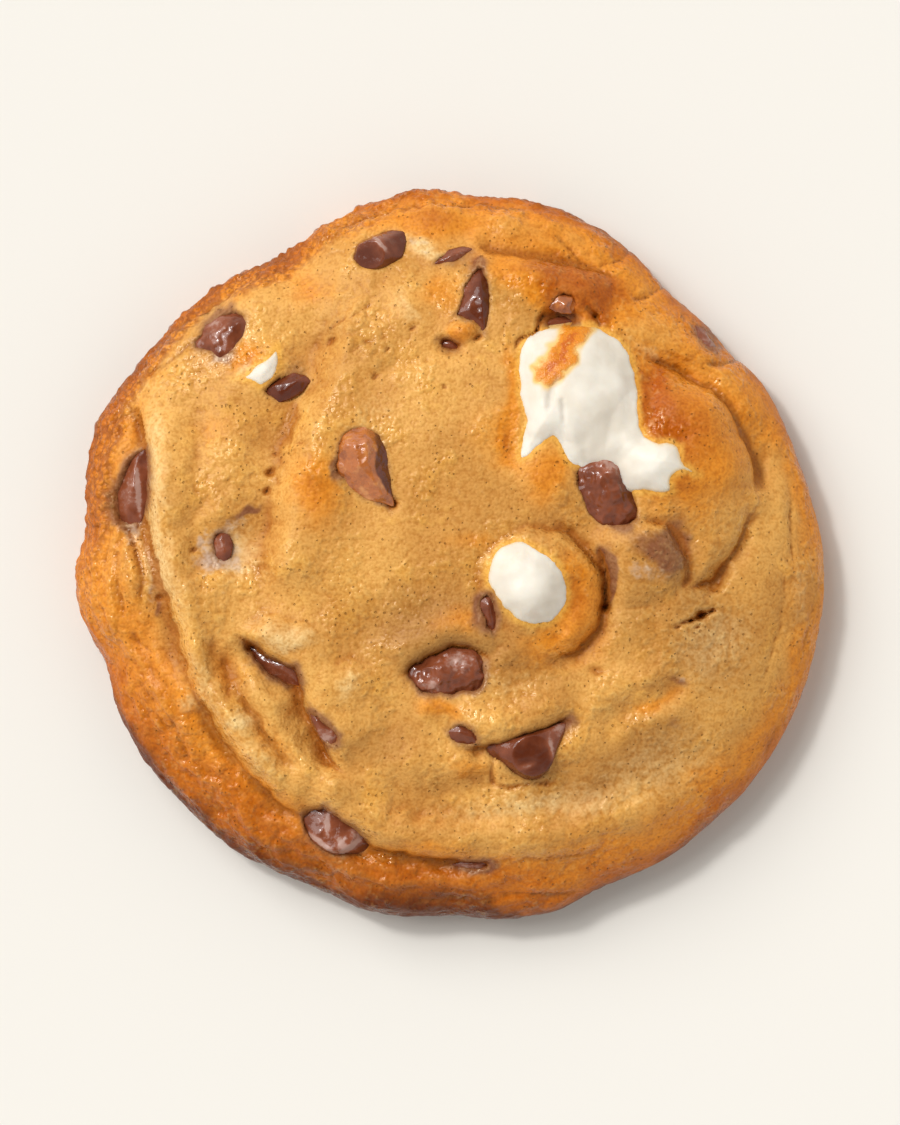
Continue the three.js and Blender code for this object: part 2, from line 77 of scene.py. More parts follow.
# The outline swells and draws in: heading and spread in degrees, rise in mm.
LOBES = (
    (-30, 27, 3.2), (-2, 13, 1.4), (36, 4, -1.1), (47, 12, -2.6), (79, 5, 0.5), (95, 7, 1.2),
    (119, 9, -2.3), (141, 6, 0.6), (160, 14, 2.3), (176, 4, -0.6), (186, 9, 2.7), (198, 4, -0.5),
    (212, 13, 1.8), (234, 10, 1.3), (258, 7, 1.3), (284, 10, 2.2), (304, 9, 0.9),
)

# One layer lapping over the next, the raised one on the left of the path:
# rise, width of its rounded lip, how far the rise reaches, drop, how far that reaches, path.
LAPS = {
    "left roll": (1.5, 3.6, 6, 2.0, 2.8, [
        (-46.5, 25), (-44.5, 16), (-44.1, 5), (-41.6, -4), (-39.4, -13), (-37.4, -20)]),
    "lower left roll": (1.4, 3, 5, 2.2, 2.6, [
        (-38.5, -17), (-33, -27), (-29.3, -32), (-25.5, -35.8), (-20, -38.4)]),
    "bottom roll": (1.3, 2.6, 4, 2.4, 3, [
        (-22, -36.2), (-17, -38.6), (-11, -42.6), (-4, -44.6), (8, -44.8)]),
    "bottom right roll": (0.3, 2.5, 3.5, 0.5, 3, [(4, -45), (12, -44.8), (18, -43.8), (24, -42)]),
    "plateau edge": (1.3, 4.5, 6, 1.9, 4.5, [
        (-16, 39), (-19.5, 31), (-20.5, 26), (-24.5, 17), (-26.2, 11), (-27, 4), (-28.3, -3),
        (-26.5, -10)]),
    "chunk fold": (1.5, 2.4, 4, 2.2, 2.4, [
        (-31, -11.5), (-28.5, -13.9), (-24, -16.6), (-21.8, -19.6), (-20.6, -23.6), (-17.4, -29.4),
        (-14.6, -32.2)]),
    "plateau foot": (0.7, 4.1, 4, 0.8, 3.4, [(-13, -33.8), (-3, -35), (4, -34), (12, -33.4), (21, -31.8)]),
    "lip over the glossy chunk": (1.4, 2, 3, 1.6, 2.5, [
        (1, -28.4), (5, -27.7), (9, -27.2), (13, -25.6), (19, -23.2)]),
    "lip over the centre chunk": (1, 2, 3, 1.6, 2.5, [
        (-8, -18.5), (-4.8, -15.6), (-1, -14.1), (2, -13.6), (7, -15)]),
    "rim crust, upper left": (1, 2.5, 4, 1.6, 2.8, [
        (-24, 43.8), (-34, 36.8), (-40, 33), (-44, 29), (-47, 22)]),
    "rim crust, top": (0.6, 1.8, 3, 1.3, 2.5, [(14, 49.6), (2, 51), (-8, 50.3), (-20, 46)]),
    "upper right crease": (0.9, 2.5, 4, 1.4, 2.5, [(25, 40.3), (14, 42.4), (8, 43.4), (3, 44.8)]),
    "round the toasted dome": (1.1, 3, 4, 2.4, 2.2, [
        (44.6, 8), (43.8, 14), (41.5, 19.8), (36.5, 24.6), (26, 29.3)]),
    "under the dome": (0.8, 3, 3, 1.3, 2, [(34.5, -5.5), (38.5, -3.2), (42, 2), (44.6, 8)]),
    "edge of the toasted ring": (1, 2, 3, 1.4, 1.8, [
        (13, -16), (18, -14.6), (21.4, -10.5), (22, -6), (20.8, -1.5), (16.5, 2.8), (10, 3.6)]),
    "edge of the lump": (0.7, 1.6, 3, 1.2, 1.6, [(34, -5.8), (34.4, -1.5), (31.8, 3.4), (27, 5.4)]),
    "lower right fold": (0.6, 4, 3, 0.7, 2.8, [(21, -26.6), (25.5, -23.8), (29, -21.6), (36, -18.6)]),
}

# Soft rolls (raised, or sunk where below 0): height, width, path. Then creases with sharp
# floors: depth, width, path.
ROLLS = {
    "outer roll by the dome": (1.1, 2.4, [(46.5, 17), (41, 24), (33, 30), (23, 34.5)]),
    "bottom ridge": (1, 2.6, [(-17, -36.5), (-5, -40.8), (6, -42), (16, -41.4), (28, -37.5), (39, -29)]),
    "inner fold roll": (1, 2, [(-32, -15.5), (-27.5, -21.5), (-23.6, -27), (-19, -32.4), (-12, -36.2)]),
    "roll between the chunks": (0.9, 1.9, [(-5.5, -21.4), (-1, -22.4), (4, -23.2), (10, -24.8)]),
    "lower right ridge": (0.6, 1.8, [(22, -27), (28, -24.3), (36, -22.6)]),
    "saddle": (0.7, 3, [(2, 41.5), (13, 40), (24, 36)]),
    "gold ridge": (1.6, 2.4, [(-42, 24), (-41.6, 6), (-39, -8), (-35, -19), (-29.6, -27.6), (-21, -35.6)]),
    "left rim roll": (0.5, 2.5, [(-51, 17), (-51.5, 6), (-50.5, -4), (-47, -16)]),
    "inner left valley": (-1.2, 1.6, [
        (-36.5, -9), (-33, -16), (-30, -21.5), (-27.2, -25.4), (-24.6, -29.6), (-20.5, -34)]),
    "left valley": (-0.8, 2.4, [(-37.5, 24), (-36.5, 12), (-37, 2), (-35.5, -7)]),
    "bottom valley": (-0.5, 1.7, [(-14, -34.6), (-5, -37.4), (6, -38.3), (17, -37), (28, -32)]),
    "plateau top arc": (-0.4, 1.3, [(8, 28.2), (0, 29.2), (-6, 27.4), (-12, 25.4)]),
    "valley by the dome": (-0.5, 1.6, [(41.5, 24.5), (45.6, 16), (46.6, 8), (46, 0)]),
}
CREASES = {
    "rim crease, left": (0.9, 1.6, [(-48.8, 15), (-49.2, 7), (-47, 2.5), (-45.2, -3), (-45, -9)]),
    "fold line": (0.5, 0.8, [(-30.5, -20), (-28.2, -24), (-25.6, -28.2)]),
    "by the left chunk": (0.7, 1.5, [(-47.6, 23), (-46.3, 19), (-45.2, 15.5)]),
    "outer left": (0.7, 1.5, [(-43.5, -20.5), (-40.5, -25), (-39, -28), (-37.6, -31.5)]),
    "short left": (0.5, 1.1, [(-45.5, -18), (-44.4, -20), (-43, -22.5)]),
    "groove left": (0.5, 1.3, [(-33.2, -15), (-32.6, -18.5), (-32.4, -22)]),
    "crevice by the lump": (1.9, 1.1, [(21.8, 1.5), (22, -2.5), (22.3, -6), (22.8, -9.5)]),
    "crease, upper left": (0.6, 1.6, [(-44.5, 25.5), (-40.5, 28), (-37, 30.5)]),
    "crease, top right": (0.7, 1.5, [(26, 39.5), (20.5, 42), (18, 44.2), (14.5, 47.5)]),
    "right rim line": (0.5, 1.2, [(49.6, 12), (50.2, 5.5), (49.8, -2)]),
    "right rim line 2": (0.35, 1.2, [(48.5, -2), (48.3, -10), (45.5, -20)]),
    "torn split": (1.4, 0.7, [(32.2, -10.6), (34.4, -10), (36, -9.4), (38, -8.2)]),
    "understep": (0.8, 1.3, [(-7, -51.5), (0, -51), (8, -50.6), (23, -49.6)]),
    "step by the glossy chunk": (1.0, 0.9, [(6, -27.8), (5.9, -31), (6.3, -34)]),
    "below the glossy chunk": (0.7, 0.9, [(6, -33.6), (10, -33.9), (16, -33)]),
    "torn, left of the recess": (1.3, 0.8, [
        (8.8, 29.6), (10.4, 31.2), (12.2, 32.2), (13, 34), (14.4, 36.2)]),
    "torn, right of the recess": (1.2, 0.7, [(19.4, 36), (20.8, 35), (22.6, 33.2)]),
    "pit line": (0.5, 0.6, [(-19, 31), (-16, 33.4), (-13, 34.4), (-10.4, 36.6)]),
    "pit line 2": (0.4, 0.5, [(-15, 29), (-12, 31), (-9, 31.6)]),
    "thin ring 2": (0.2, 0.8, [(8, -40.6), (20, -38.6), (30, -34.5)]),
    "thin ring 3": (0.25, 0.8, [(-2, -41), (-10, -39.8), (-16, -37)]),
    "upper film": (0.3, 0.8, [(23, 33), (29, 30.5), (34, 28)]),
    "notch low left": (0.6, 1.2, [(-33.5, -41.5), (-32, -43.5), (-30.5, -45)]),
    "notch low": (0.6, 1.3, [(-17, -47), (-17.5, -49.5), (-18, -52)]),
    "left lobe notch": (0.7, 1.6, [(-50, 4), (-52, 3.6), (-55, 3.4)]),
    "right flake": (0.4, 0.9, [(55, -2), (53.2, -9), (51, -17)]),
    "right slit": (0.5, 1, [(48, -24.5), (46.8, -28), (45, -32)]),
    "top right notch": (0.7, 1.4, [(27.5, 46), (25, 43.3), (22, 41.8)]),
    "top right notch 2": (0.7, 1.4, [(33, 41), (30.5, 38.6), (26, 37)]),
    "side notch": (0.8, 1.5, [(43, 29), (40, 27.4), (36.5, 27.8)]),
}

# Domes and hollows: centre, reach both ways, heading of the first in degrees, height.
SWELLS = {
    "plateau": (-4, 8, 26, 24, 0, 0.9),
    "larger marshmallow": (19.4, 23, 9.6, 11.5, 8, 3),
    "its leg": (12.4, 18, 4, 6, 10, 0.8),
    "its flow": (29.8, 12.4, 6, 5, 0, 0.9),
    "smaller marshmallow": (11.3, -4.3, 7.4, 8, 25, 2.2),
    "white wedge": (-26.6, 27, 5, 3, 52, 0.6),
    "toasted dome": (34.5, 14.5, 12, 12.5, 0, 3.6),
    "buried lump": (28, -0.5, 8.2, 7.6, 20, 2.6),
    "toasted ring": (13.8, -6, 10, 10.5, 0, 1.6),
    "toasted peak": (15, 11.5, 5, 7, 60, 1),
    "bright bump": (-15, -19, 4.5, 4, 0, 0.9),
    "fold bump": (-24, -11.5, 5, 2.6, -15, 0.9),
    "caramel shoulder": (-18.5, 11.5, 4.5, 7, 0, 0.7),
    "left field": (-36, 12, 9, 14, 80, 0.7),
    "left knoll": (-38, -21.5, 2.6, 2, 30, 0.5),
    "lower left knoll": (-30, -24, 3.4, 2.2, -50, 0.6),
    "top knoll": (-6, 36, 4, 6, 20, 0.5),
    "pale bump": (-3.5, 44.2, 4, 2, -15, 0.4),
    "knob by the tall chunk": (2, 32.4, 2.1, 1.9, 0, 1.1),
    "caramel bumps": (13.5, 48.6, 2.4, 1.4, -20, 0.5),
    "recess": (16, 34, 4, 1.9, 0, -2.2),
    "small hollow": (0.2, 30.2, 2.8, 1.8, 0, -0.9),
    "frosted hollow": (-33.3, 0.6, 5.2, 5, 0, -1.2),
    "hollow under the dome": (38.6, -3.7, 3, 2, 25, -1.1),
    "shallow pit": (21, -17, 1.6, 1.1, 0, -0.5),
    "tan cap": (25, 2.4, 3.6, 2.6, 20, 0.5),
    "small bump by the ring": (11.4, 2.9, 1.3, 1, 10, 0.5),
    "pink knob": (17, -12.6, 1.4, 1.1, 20, 0.45),
    "cluster right": (8, -15.2, 2.4, 1.6, 10, 0.4),
    "chunk ledge": (3, -30.6, 4, 2.2, 0, 0.5),
}
# Small deep holes, a little oval, painted near black inside as shade: centre, radius, depth.
HOLES = (
    (36.4, -9.2, 0.95, 2.2), (37.9, -8.3, 0.6, 1.6), (34.6, -10, 0.5, 1.2), (32.5, -11, 0.45, 0.9),
    (35.7, -11, 0.4, 0.7), (-26, 11.7, 0.7, 1.3), (-26.3, 9, 0.6, 1.2), (-8.2, 7, 0.9, 1.5),
    (21.2, 34.9, 0.6, 1.4), (12.6, 32.6, 0.5, 1.0), (-21.4, 16, 0.5, 0.8), (-24.6, 10.2, 0.3, 0.6),
    (-25.2, 14.4, 0.35, 0.7), (-5.4, -17.6, 0.8, 1.5), (22.4, -8, 0.7, 1.6), (-37, 0.4, 0.4, 0.8),
    (-9.4, 29.6, 0.6, 0.7), (-10.8, 25.5, 0.5, 0.7), (-0.7, 24.2, 0.5, 0.5), (-17.4, 30.6, 0.8, 0.8),
    (3.9, 31.2, 0.6, 1.1), (-41.9, -6.3, 0.6, 1.0), (-29.2, -14.1, 0.7, 1.5), (-5.4, 32.5, 0.5, 0.7),
)

# What is baked in shows through openings in the dough: how strongly melted chocolate stained the
# edge of each, and its outline. Then the outlines of the marshmallows that burst through.
OPENINGS = {
    "chip_top": (0.35, [
        (-14.2, 43), (-13.6, 44.6), (-12.4, 45.4), (-10.5, 46.3), (-8.5, 46.9), (-6.9, 46.6), (-6.6, 45.2),
        (-7.2, 43.2), (-9, 42), (-10.5, 41.6), (-12.8, 41.6), (-13.8, 42.2)]),
    "chunk_upper_left": (0.7, [
        (-37.2, 30.6), (-35.3, 33.1), (-33.2, 34.6), (-31.2, 35.1), (-29.9, 34.4), (-29.9, 33),
        (-30.4, 31.4), (-31.6, 29.8), (-33.4, 28.6), (-35.2, 29.4), (-37, 29.9)]),
    "chip_wedge": (0.5, [
        (-27.4, 23.6), (-26.4, 24.5), (-25, 25.4), (-23, 25.9), (-21.2, 25.7), (-20.4, 24.9), (-21.6, 23.4),
        (-23.6, 22.4), (-25, 22), (-26.5, 22.7)]),
    "chunk_caramel": (0.6, [
        (-16.1, 15.4), (-15.6, 17), (-14, 18), (-12.3, 17.9), (-10.4, 16.9), (-9.5, 15), (-9, 12),
        (-8.7, 9), (-8.3, 6.9), (-10, 7.5), (-12.2, 8), (-13.6, 9), (-14.6, 10.6), (-16.4, 11.4),
        (-16.6, 12.8), (-16, 14)]),
    "chunk_left_rim": (0.9, [
        (-44.4, 15.2), (-45.9, 14.6), (-47.2, 13.2), (-48.4, 11), (-49.2, 8.8), (-49.2, 6.6), (-48.6, 4.6),
        (-46.8, 3.8), (-45.2, 4.6), (-44.4, 6.5), (-44, 9), (-43.9, 12)]),
    "chip_frosted": (0.8, [
        (-34.7, 1.5), (-34.3, 2.8), (-33.2, 3.3), (-32.1, 2.6), (-31.6, 1.2), (-31.9, -0.4), (-32.8, -1.3),
        (-33.9, -0.8), (-34.1, 0.2)]),
    "chunk_fold": (0.8, [
        (-29.6, -13.2), (-28.6, -13.6), (-27, -14.9), (-25, -16), (-23.4, -16.2), (-22.2, -16),
        (-21.8, -17.4), (-21.4, -19.8), (-23.6, -19.3), (-25.4, -18.6), (-27, -17.4), (-28.6, -15.6)]),
    "sliver_fold": (0.9, [
        (-20.3, -22.9), (-18.6, -24.2), (-17, -25.4), (-16, -26.6), (-16.2, -27.8), (-17.4, -28),
        (-18.6, -26.6), (-19.8, -24.6)]),
    "chunk_centre": (0.8, [
        (-5.9, -17.6), (-4.6, -16.2), (-3, -15.7), (-1.4, -15.5), (-0.2, -14.2), (1.6, -13.9), (3.6, -14.6),
        (4.9, -16), (5.2, -18), (4.8, -19.6), (3.6, -20.4), (1.8, -20.1), (0.4, -20.9), (-1.2, -20.4),
        (-2.6, -20.8), (-4.2, -20.4), (-5.2, -19.2)]),
    "chip_centre": (0.7, [
        (-0.2, -26), (1, -25), (2.2, -24.8), (3.4, -25.6), (4.2, -26.8), (4, -27.8), (2.4, -28), (1, -27.6),
        (0.1, -26.9)]),
    "chunk_glossy": (0.5, [
        (5, -27.9), (6.4, -27.7), (8.8, -27.6), (10.6, -26.3), (12.4, -26), (14.4, -25.3), (17, -24.4),
        (16.6, -25.8), (15.4, -27.4), (14.9, -29.8), (14.2, -31.6), (12.8, -32.7), (11, -32.9), (9.2, -32),
        (8, -30.8), (6.8, -30.2), (5.6, -29)]),
    "chunk_lower_left": (0.7, [
        (-21.8, -38.4), (-20.2, -37.4), (-18.4, -36.9), (-16.4, -38.2), (-14.6, -39.8), (-12.8, -41.3),
        (-12, -42.3), (-12.6, -43.4), (-14.4, -43.9), (-16.4, -44.2), (-18.6, -43.6), (-20.2, -42.2),
        (-21.2, -40.6)]),
    "chunk_tall": (0.6, [
        (1.6, 36.9), (2, 38.6), (3, 40.2), (4, 41.8), (5, 41.4), (5.7, 39.8), (6, 37.6), (5.8, 35.4),
        (5.4, 33), (4.9, 31.6), (4.2, 32.8), (3.4, 33.6), (1.8, 34), (0.7, 34.6), (1.4, 35.6)]),
    "flake_top": (0.5, [
        (-2.6, 41.9), (-1.6, 43), (0, 43.9), (1.6, 44.4), (3.2, 44.2), (2, 43.4), (0.6, 42.6), (-1, 42.1)]),
    "chip_hollow": (0.6, [
        (-2, 31), (-0.8, 31.3), (0.6, 31), (1.8, 30.2), (1.2, 29.4), (-0.2, 29.3), (-1.4, 29.9)]),
    "chip_recess": (0.7, [
        (13.4, 32.9), (14.8, 33.9), (16.4, 34.3), (18, 34.1), (18.8, 33.4), (17.4, 32.8), (15, 32.6)]),
    "crumb_caramel": (0.3, [
        (14.6, 35.6), (15.4, 37.4), (16.6, 38), (18, 37.4), (18.4, 36), (17.6, 35), (16, 34.9)]),
    "chunk_marshmallow": (0.5, [
        (18.2, 11.6), (19.4, 12.7), (20.8, 13.5), (22.4, 14.1), (24.6, 13.4), (25.4, 12.6), (26, 10.8),
        (26.6, 8.4), (27.3, 6.4), (27.2, 4.8), (26, 3.8), (23.6, 3.8), (21.4, 4.6), (20, 6), (19.2, 8),
        (18.3, 9.8)]),
    "chip_marshmallow": (0.8, [
        (4.2, -7), (4.8, -6.2), (6, -5.9), (6.6, -7.4), (6.9, -9), (6.9, -10.6), (6.4, -11.6), (5.2, -10.9),
        (4.9, -9.4), (4.3, -8.2)]),
    "chip_lower_edge": (0.8, [
        (0.4, -45.4), (2, -45), (4.6, -44.8), (5.8, -45.2), (5.7, -46), (4.2, -46.4), (1.6, -46.2)]),
    "chunk_side": (0.7, [
        (35.8, 33.2), (37.2, 33), (38.6, 31.8), (39.4, 30), (38.8, 29), (37.2, 30), (36, 31.6)]),
}
MARSHMALLOWS = {
    "marshmallow_large": [
        (13.2, 32.5), (15.4, 33.1), (20.4, 33.3), (23.5, 31.8), (25.5, 30), (26.6, 27.5), (27.3, 24),
        (27.3, 20.5), (27.5, 18.3), (28.6, 16.9), (30, 15.7), (31.6, 16.3), (33.4, 15.4), (33.6, 13.2),
        (36, 11.2), (33.6, 11.9), (31.6, 10.8), (32.3, 8.8), (30.6, 8.5), (28.9, 8.9), (27, 8.8),
        (22.5, 10), (18.5, 12.6), (17.2, 13), (16, 15.6), (14.8, 17.1), (12.6, 15.2), (11.4, 13.8),
        (9.8, 13.3), (10.3, 15.8), (11, 18.6), (10.8, 20.6), (10.1, 23), (9.8, 26.5), (10.2, 30),
        (11.2, 31.6)],
    "marshmallow_small": [
        (9.4, 1.9), (11, 1.6), (13.4, 0.2), (15.6, -1.4), (16.7, -3.6), (17.2, -6), (16.4, -8.2),
        (15, -9.8), (12.6, -10.5), (10.4, -10.2), (8.4, -8.6), (6.4, -6.2), (5.3, -3.8), (5.6, -1.4),
        (7.4, 1.2)],
    "marshmallow_wedge": [
        (-25, 30.1), (-24.7, 27), (-26, 25), (-27.4, 23.9), (-28.2, 24.8), (-31.3, 25.3), (-29, 26.3),
        (-27.4, 27.6)],
}
POCKET_DEPTH = 3.2
BROAD_LIP = 4  # a lap with a lip this wide or wider rises softly, with no rounded lip
LAP_SHADE = 0.55  # how far a lap's painted crease shade reaches on either side of its line
# how far a crease's painted shade reaches on either side of its line
CREASE_SHADE = 0.4
RIM_RADIUS = 52  # about that of the rim, to measure along it

# Where the crust broke up into crags as it dried: centre, reach both ways, heading, strength.
CRAGGY = (
    (-14, 33, 7, 9, -30, 1), (-36, 15, 6, 12, 0, 0.6), (6, 36, 6, 5, 0, 0.5), (-41, 25, 4, 4, 0, 0.9),
    (-20, 13, 4, 6, 0, 0.5), (17, 37, 4, 2.5, 0, 1), (-24, 41, 10, 3, 28, 0.4),
)

# Colour by place. Toast is orange, pale is cream: centre, reach both ways, heading, strength.
TOASTED = (
    (-19.3, 9.5, 4.6, 7, 0, 0.9), (13, 40.4, 12, 3.4, -12, 0.9), (16.5, 36.6, 5.5, 3, 0, 0.9),
    (34.5, 17, 12, 13, 0, 1.1), (29.4, 22, 4.4, 8, 10, 1.15), (31, 27.5, 6, 2, -30, 0.4),
    (14, 11.5, 4.6, 5.5, 0, 0.8), (17, 40.5, 7, 3, -12, 0.7), (24, 37.5, 5, 4, -30, 0.6),
    (26, 38, 16, 6, -30, 0.35), (16.6, 35.8, 3.6, 2.2, 0, 0.8), (43.5, 22, 3, 6, 20, 0.4),
    (21.4, 34.6, 2.8, 2.2, 0, 0.9), (12.4, 31.4, 2, 1.4, 40, 0.6), (18.5, -7, 4.4, 8.5, 10, 1.1),
    (14, -13.6, 6, 3, 0, 0.7), (1.5, -10, 6, 3.2, 0, 0.5), (-1.6, -22.2, 4, 2.2, -8, 0.9),
    (3.5, 2, 6.5, 2.6, 0, 0.45), (8.6, 20, 2.2, 9, -8, 0.5), (-29.7, 28, 3.2, 2.3, 50, 1),
    (-1.4, 37.5, 3.2, 4.6, 10, 0.5), (2, 32.3, 1.9, 1.7, 0, 0.9), (33.6, 9.4, 2.2, 1.6, 0, 0.4),
    (-3, 48.6, 9, 3.4, 0, 1), (-31, 38.5, 6, 2.6, 42, 0.4), (8.6, 26, 1.6, 6, 4, 0.5),
    (8.6, 15.5, 1.8, 3, 10, 0.5), (-20.5, 38.5, 5, 3.5, 20, 0.5), (12, 45, 14, 4, -8, 0.35),
    (-34, 18.5, 5, 3, 30, 0.3), (30, -21.8, 6, 1.5, 20, 0.5), (3, -31, 4, 2, 0, 0.5),
    (-33, -17, 2, 5, 10, 0.45), (5, 17, 5, 6, 0, 0.3), (-33, -27, 4, 7, 35, 0.35), (-1, 30, 7, 3, 0, 0.15),
    (-46, 18, 1.7, 5, -15, 0.6), (50, -5, 2.4, 8, 0, 0.3), (-25, -28, 4, 4, 0, 0.25),
)
# Cream patches: paler dough in some places, and in others painted highlights and painted light where the
# dough faces the light.
PALE_AND_LIT = (
    (-3.4, 44.4, 4.2, 1.7, -14, 0.9), (-6, 36, 2, 4, 20, 0.6), (-24, -11.8, 5.5, 2.8, -15, 0.8),
    (-15, -19.3, 2.6, 2.6, 0, 0.6), (-30.2, -24, 3, 1.7, -50, 0.8), (38, -13, 9, 9, 0, 0.45),
    (30, -31, 14, 6, 20, 0.4), (-31.5, 0.2, 4.6, 5, 0, 0.9), (-46.6, 3.5, 2.4, 2.6, 0, 0.6),
    (-30.5, 26.2, 2.2, 1.2, 35, 0.9), (-12, 20, 6, 4, 40, 0.3), (-38, -21.5, 2.6, 1.6, 20, 0.6),
    (29, 29.3, 5, 1.6, -28, 0.5), (-42.5, 12, 2.2, 14, 2, 0.7), (-41, -3, 2.2, 8, 14, 0.6),
    (50.4, -5, 2.6, 8, 0, 0.35), (-36, -17.5, 2, 7, 26, 0.45), (-28, -29.5, 2, 7, 44, 0.4),
    (8, -19, 9, 2.5, 5, 0.35), (-43.5, -3, 1.2, 4, 0, 0.5), (12, -36.6, 16, 2.5, 3, 0.6),
)
# Darker, duller tan, painted as shade on low ground and on slopes that face away from the light.
SHADED_TAN = (
    (-3, -11, 12, 8, 0, 1.1), (10, -16, 14, 6, 10, 0.6), (38, -12, 8, 12, 0, 0.7),
    (27, -29, 12, 6, 25, 0.9), (26, -8, 8, 9, 0, 0.5), (8, 2, 9, 7, 0, 0.4), (-10, -27, 7, 6, 0, 0.55),
    (12, -34, 12, 3, 5, 0.4), (-29, 8, 4, 8, 0, 0.3), (-18, 33, 3, 6, -30, 0.5), (-10, 31, 8, 4, 20, 0.3),
    (-2, 18, 9, 7, 0, 0.25), (10, -41, 14, 2.5, 0, 0.25),
)
# Melted chocolate smeared on the dough.
SMEARED = (
    (33, -19, 2.6, 1.4, -20, 0.75), (33.2, -25, 2.6, 1.8, -15, 0.5), (32.2, 0.4, 3.8, 5.4, -10, 1.2),
    (28, 1, 5, 4, -20, 0.45), (22.2, -1.4, 1.5, 3, 0, 1.5), (22.7, -6.6, 1.2, 2.6, -8, 1.3),
    (-33, 28.4, 2, 2, 0, 0.6), (-46.8, 5, 1.6, 2.6, 0, 0.7), (-29.5, 5.8, 3.2, 1, 25, 1),
    (-35, -0.8, 2, 2.4, 40, 0.6), (-41.7, -7, 0.8, 2, -15, 1), (-16, 11.6, 1.2, 1.8, 0, 0.9),
    (-9, 7, 1.8, 1, 0, 0.8), (2, 42.4, 3.4, 2, 10, 0.35), (3.8, 42, 1.4, 2, 0, 0.6),
    (16.6, -24.8, 2.4, 1.2, 30, 0.7), (16.2, 34, 2.8, 0.9, 0, 1.2), (22.6, -3, 1.3, 3, 0, 0.6),
    (-22, 27.5, 3, 2, 40, 0.35), (-19, -25, 1, 4, 25, 0.5), (-17.8, -29.6, 0.8, 2.6, 25, 0.7),
    (4.4, -8.2, 1.5, 3.2, -10, 0.7), (18.6, -25.2, 1.6, 1, 30, 0.5), (24, 4.6, 3, 1.4, -20, 0.6),
    (-5.4, 45.4, 2, 1, 0, 0.4), (4.5, -45.6, 3, 1.2, 0, 0.6), (-34, 35, 3, 1.6, 30, 0.5),
    (35, -9.6, 3, 2.2, 0, 0.3),
)
# Chocolate and fat that bloomed into a pale frost on the dough.
FROSTED = (
    (-34.6, -1.6, 2.6, 2.6, 0, 1), (-31.2, -0.6, 1.6, 3, 0, 1), (-35.4, 2.2, 1.6, 2.2, 0, 0.9),
    (-32, 3.8, 2.4, 1.2, 20, 0.7), (-46.4, 2.6, 1.6, 2.2, 0, 0.9), (-33.4, 27.8, 2.2, 1.4, 20, 0.8),
    (27.8, -3.2, 4, 1.4, 0, 0.6), (-3.8, 44.6, 3.4, 1.2, -14, 0.5), (5, -17, 2, 2, 0, 0.4),
    (-42.9, -5, 0.9, 3, 0, 0.7), (33.4, -18.2, 2.4, 1, -20, 0.5), (-8, 45.4, 2, 1, 0, 0.4),
)
# Butter that came out and left the crust wet-looking: glossier, and with more pale glints painted on.
BUTTERY = (
    (-15, -19.5, 3.6, 3.4, 0, 1), (-24.5, -12, 6.5, 3, -15, 1), (-33, -25, 5, 9, 35, 0.8),
    (4, -22.5, 9, 3.4, -8, 1), (3.6, -31, 3.6, 2.4, 0, 1), (-50, -8, 5, 11, 10, 1.3),
    (-39, -36, 12, 8, -42, 1.3), (-22, -46, 11, 6, -20, 1.3), (-44, 30, 5, 8, -35, 0.7),
    (-6, 38, 7, 5, 0, 0.7), (16, 39, 8, 4, -15, 0.8), (36, 29, 10, 3.4, -45, 0.9), (-9, 33, 6, 5, 30, 0.6),
    (-18, 4, 8, 7, 0, 0.5), (15, -13, 5, 3, 0, 0.7), (-44, 3, 3, 9, 0, 0.6),
)


def near_heading(angle, heading, spread, power=2):
    """1 at a heading and falling to 0 on both sides of it: heading and spread in degrees."""
    turn = (angle - math.radians(heading) + math.pi) % (2 * math.pi) - math.pi
    return np.exp(-((turn / math.radians(spread)) ** power))


def outline_radius(angle):
    radius = np.full(np.shape(angle), MEAN_RADIUS)
    for heading, spread, rise in LOBES:
        radius = radius + rise * near_heading(angle, heading, spread)
    return radius


def crown_height(share):
    """Height of the bare crown at a share of the radius."""
    fall = np.sqrt(1 - np.clip(share, 0, 1) ** CROWN_POWER)
    return WIDEST_HEIGHT + (CROWN_HEIGHT - WIDEST_HEIGHT) * fall


def bare_height(x, y):
    """Height of the bare crown at a place."""
    return crown_height(np.hypot(x, y) / outline_radius(np.arctan2(y, x)))


def ease(low, high, value):
    """0 at low and 1 at high, with a smooth turn between and level beyond."""
    t = np.clip((value - low) / (high - low), 0, 1)
    return t * t * (3 - 2 * t)


def curve_through(points, steps=8):
    """A smooth line through points, as short straight steps."""
    p = np.array(points, float)
    p = np.vstack([2 * p[0] - p[1], p, 2 * p[-1] - p[-2]])
    line = []
    for a, b, c, d in zip(p, p[1:], p[2:], p[3:]):
        for t in np.arange(steps) / steps:
            bend = (c - a) * t + (2 * a - 5 * b + 4 * c - d) * t**2 + (3 * b - a - 3 * c + d) * t**3
            line.append(b + 0.5 * bend)
    return np.array(line + [p[-2]])


def measure_from(path, x, y):
    """Distance from a path, its sign (left is positive), and a strength that fades to its ends."""
    line = curve_through(path)
    distance = np.full(x.shape, np.inf)
    side = np.ones(x.shape)
    along = np.zeros(x.shape)
    for step, (start, end) in enumerate(zip(line, line[1:])):
        dx, dy = end - start
        part = np.clip(((x - start[0]) * dx + (y - start[1]) * dy) / (dx * dx + dy * dy), 0, 1)
        off_x = x - start[0] - part * dx
        off_y = y - start[1] - part * dy
        off = np.hypot(off_x, off_y)
        nearer = off < distance
        distance = np.where(nearer, off, distance)
        side = np.where(nearer, np.where(dx * off_y - dy * off_x >= 0, 1, -1), side)
        along = np.where(nearer, (step + part) / (len(line) - 1), along)
    strength = ease(0, 0.18, along) * (1 - ease(0.82, 1, along))
    return distance, side, strength


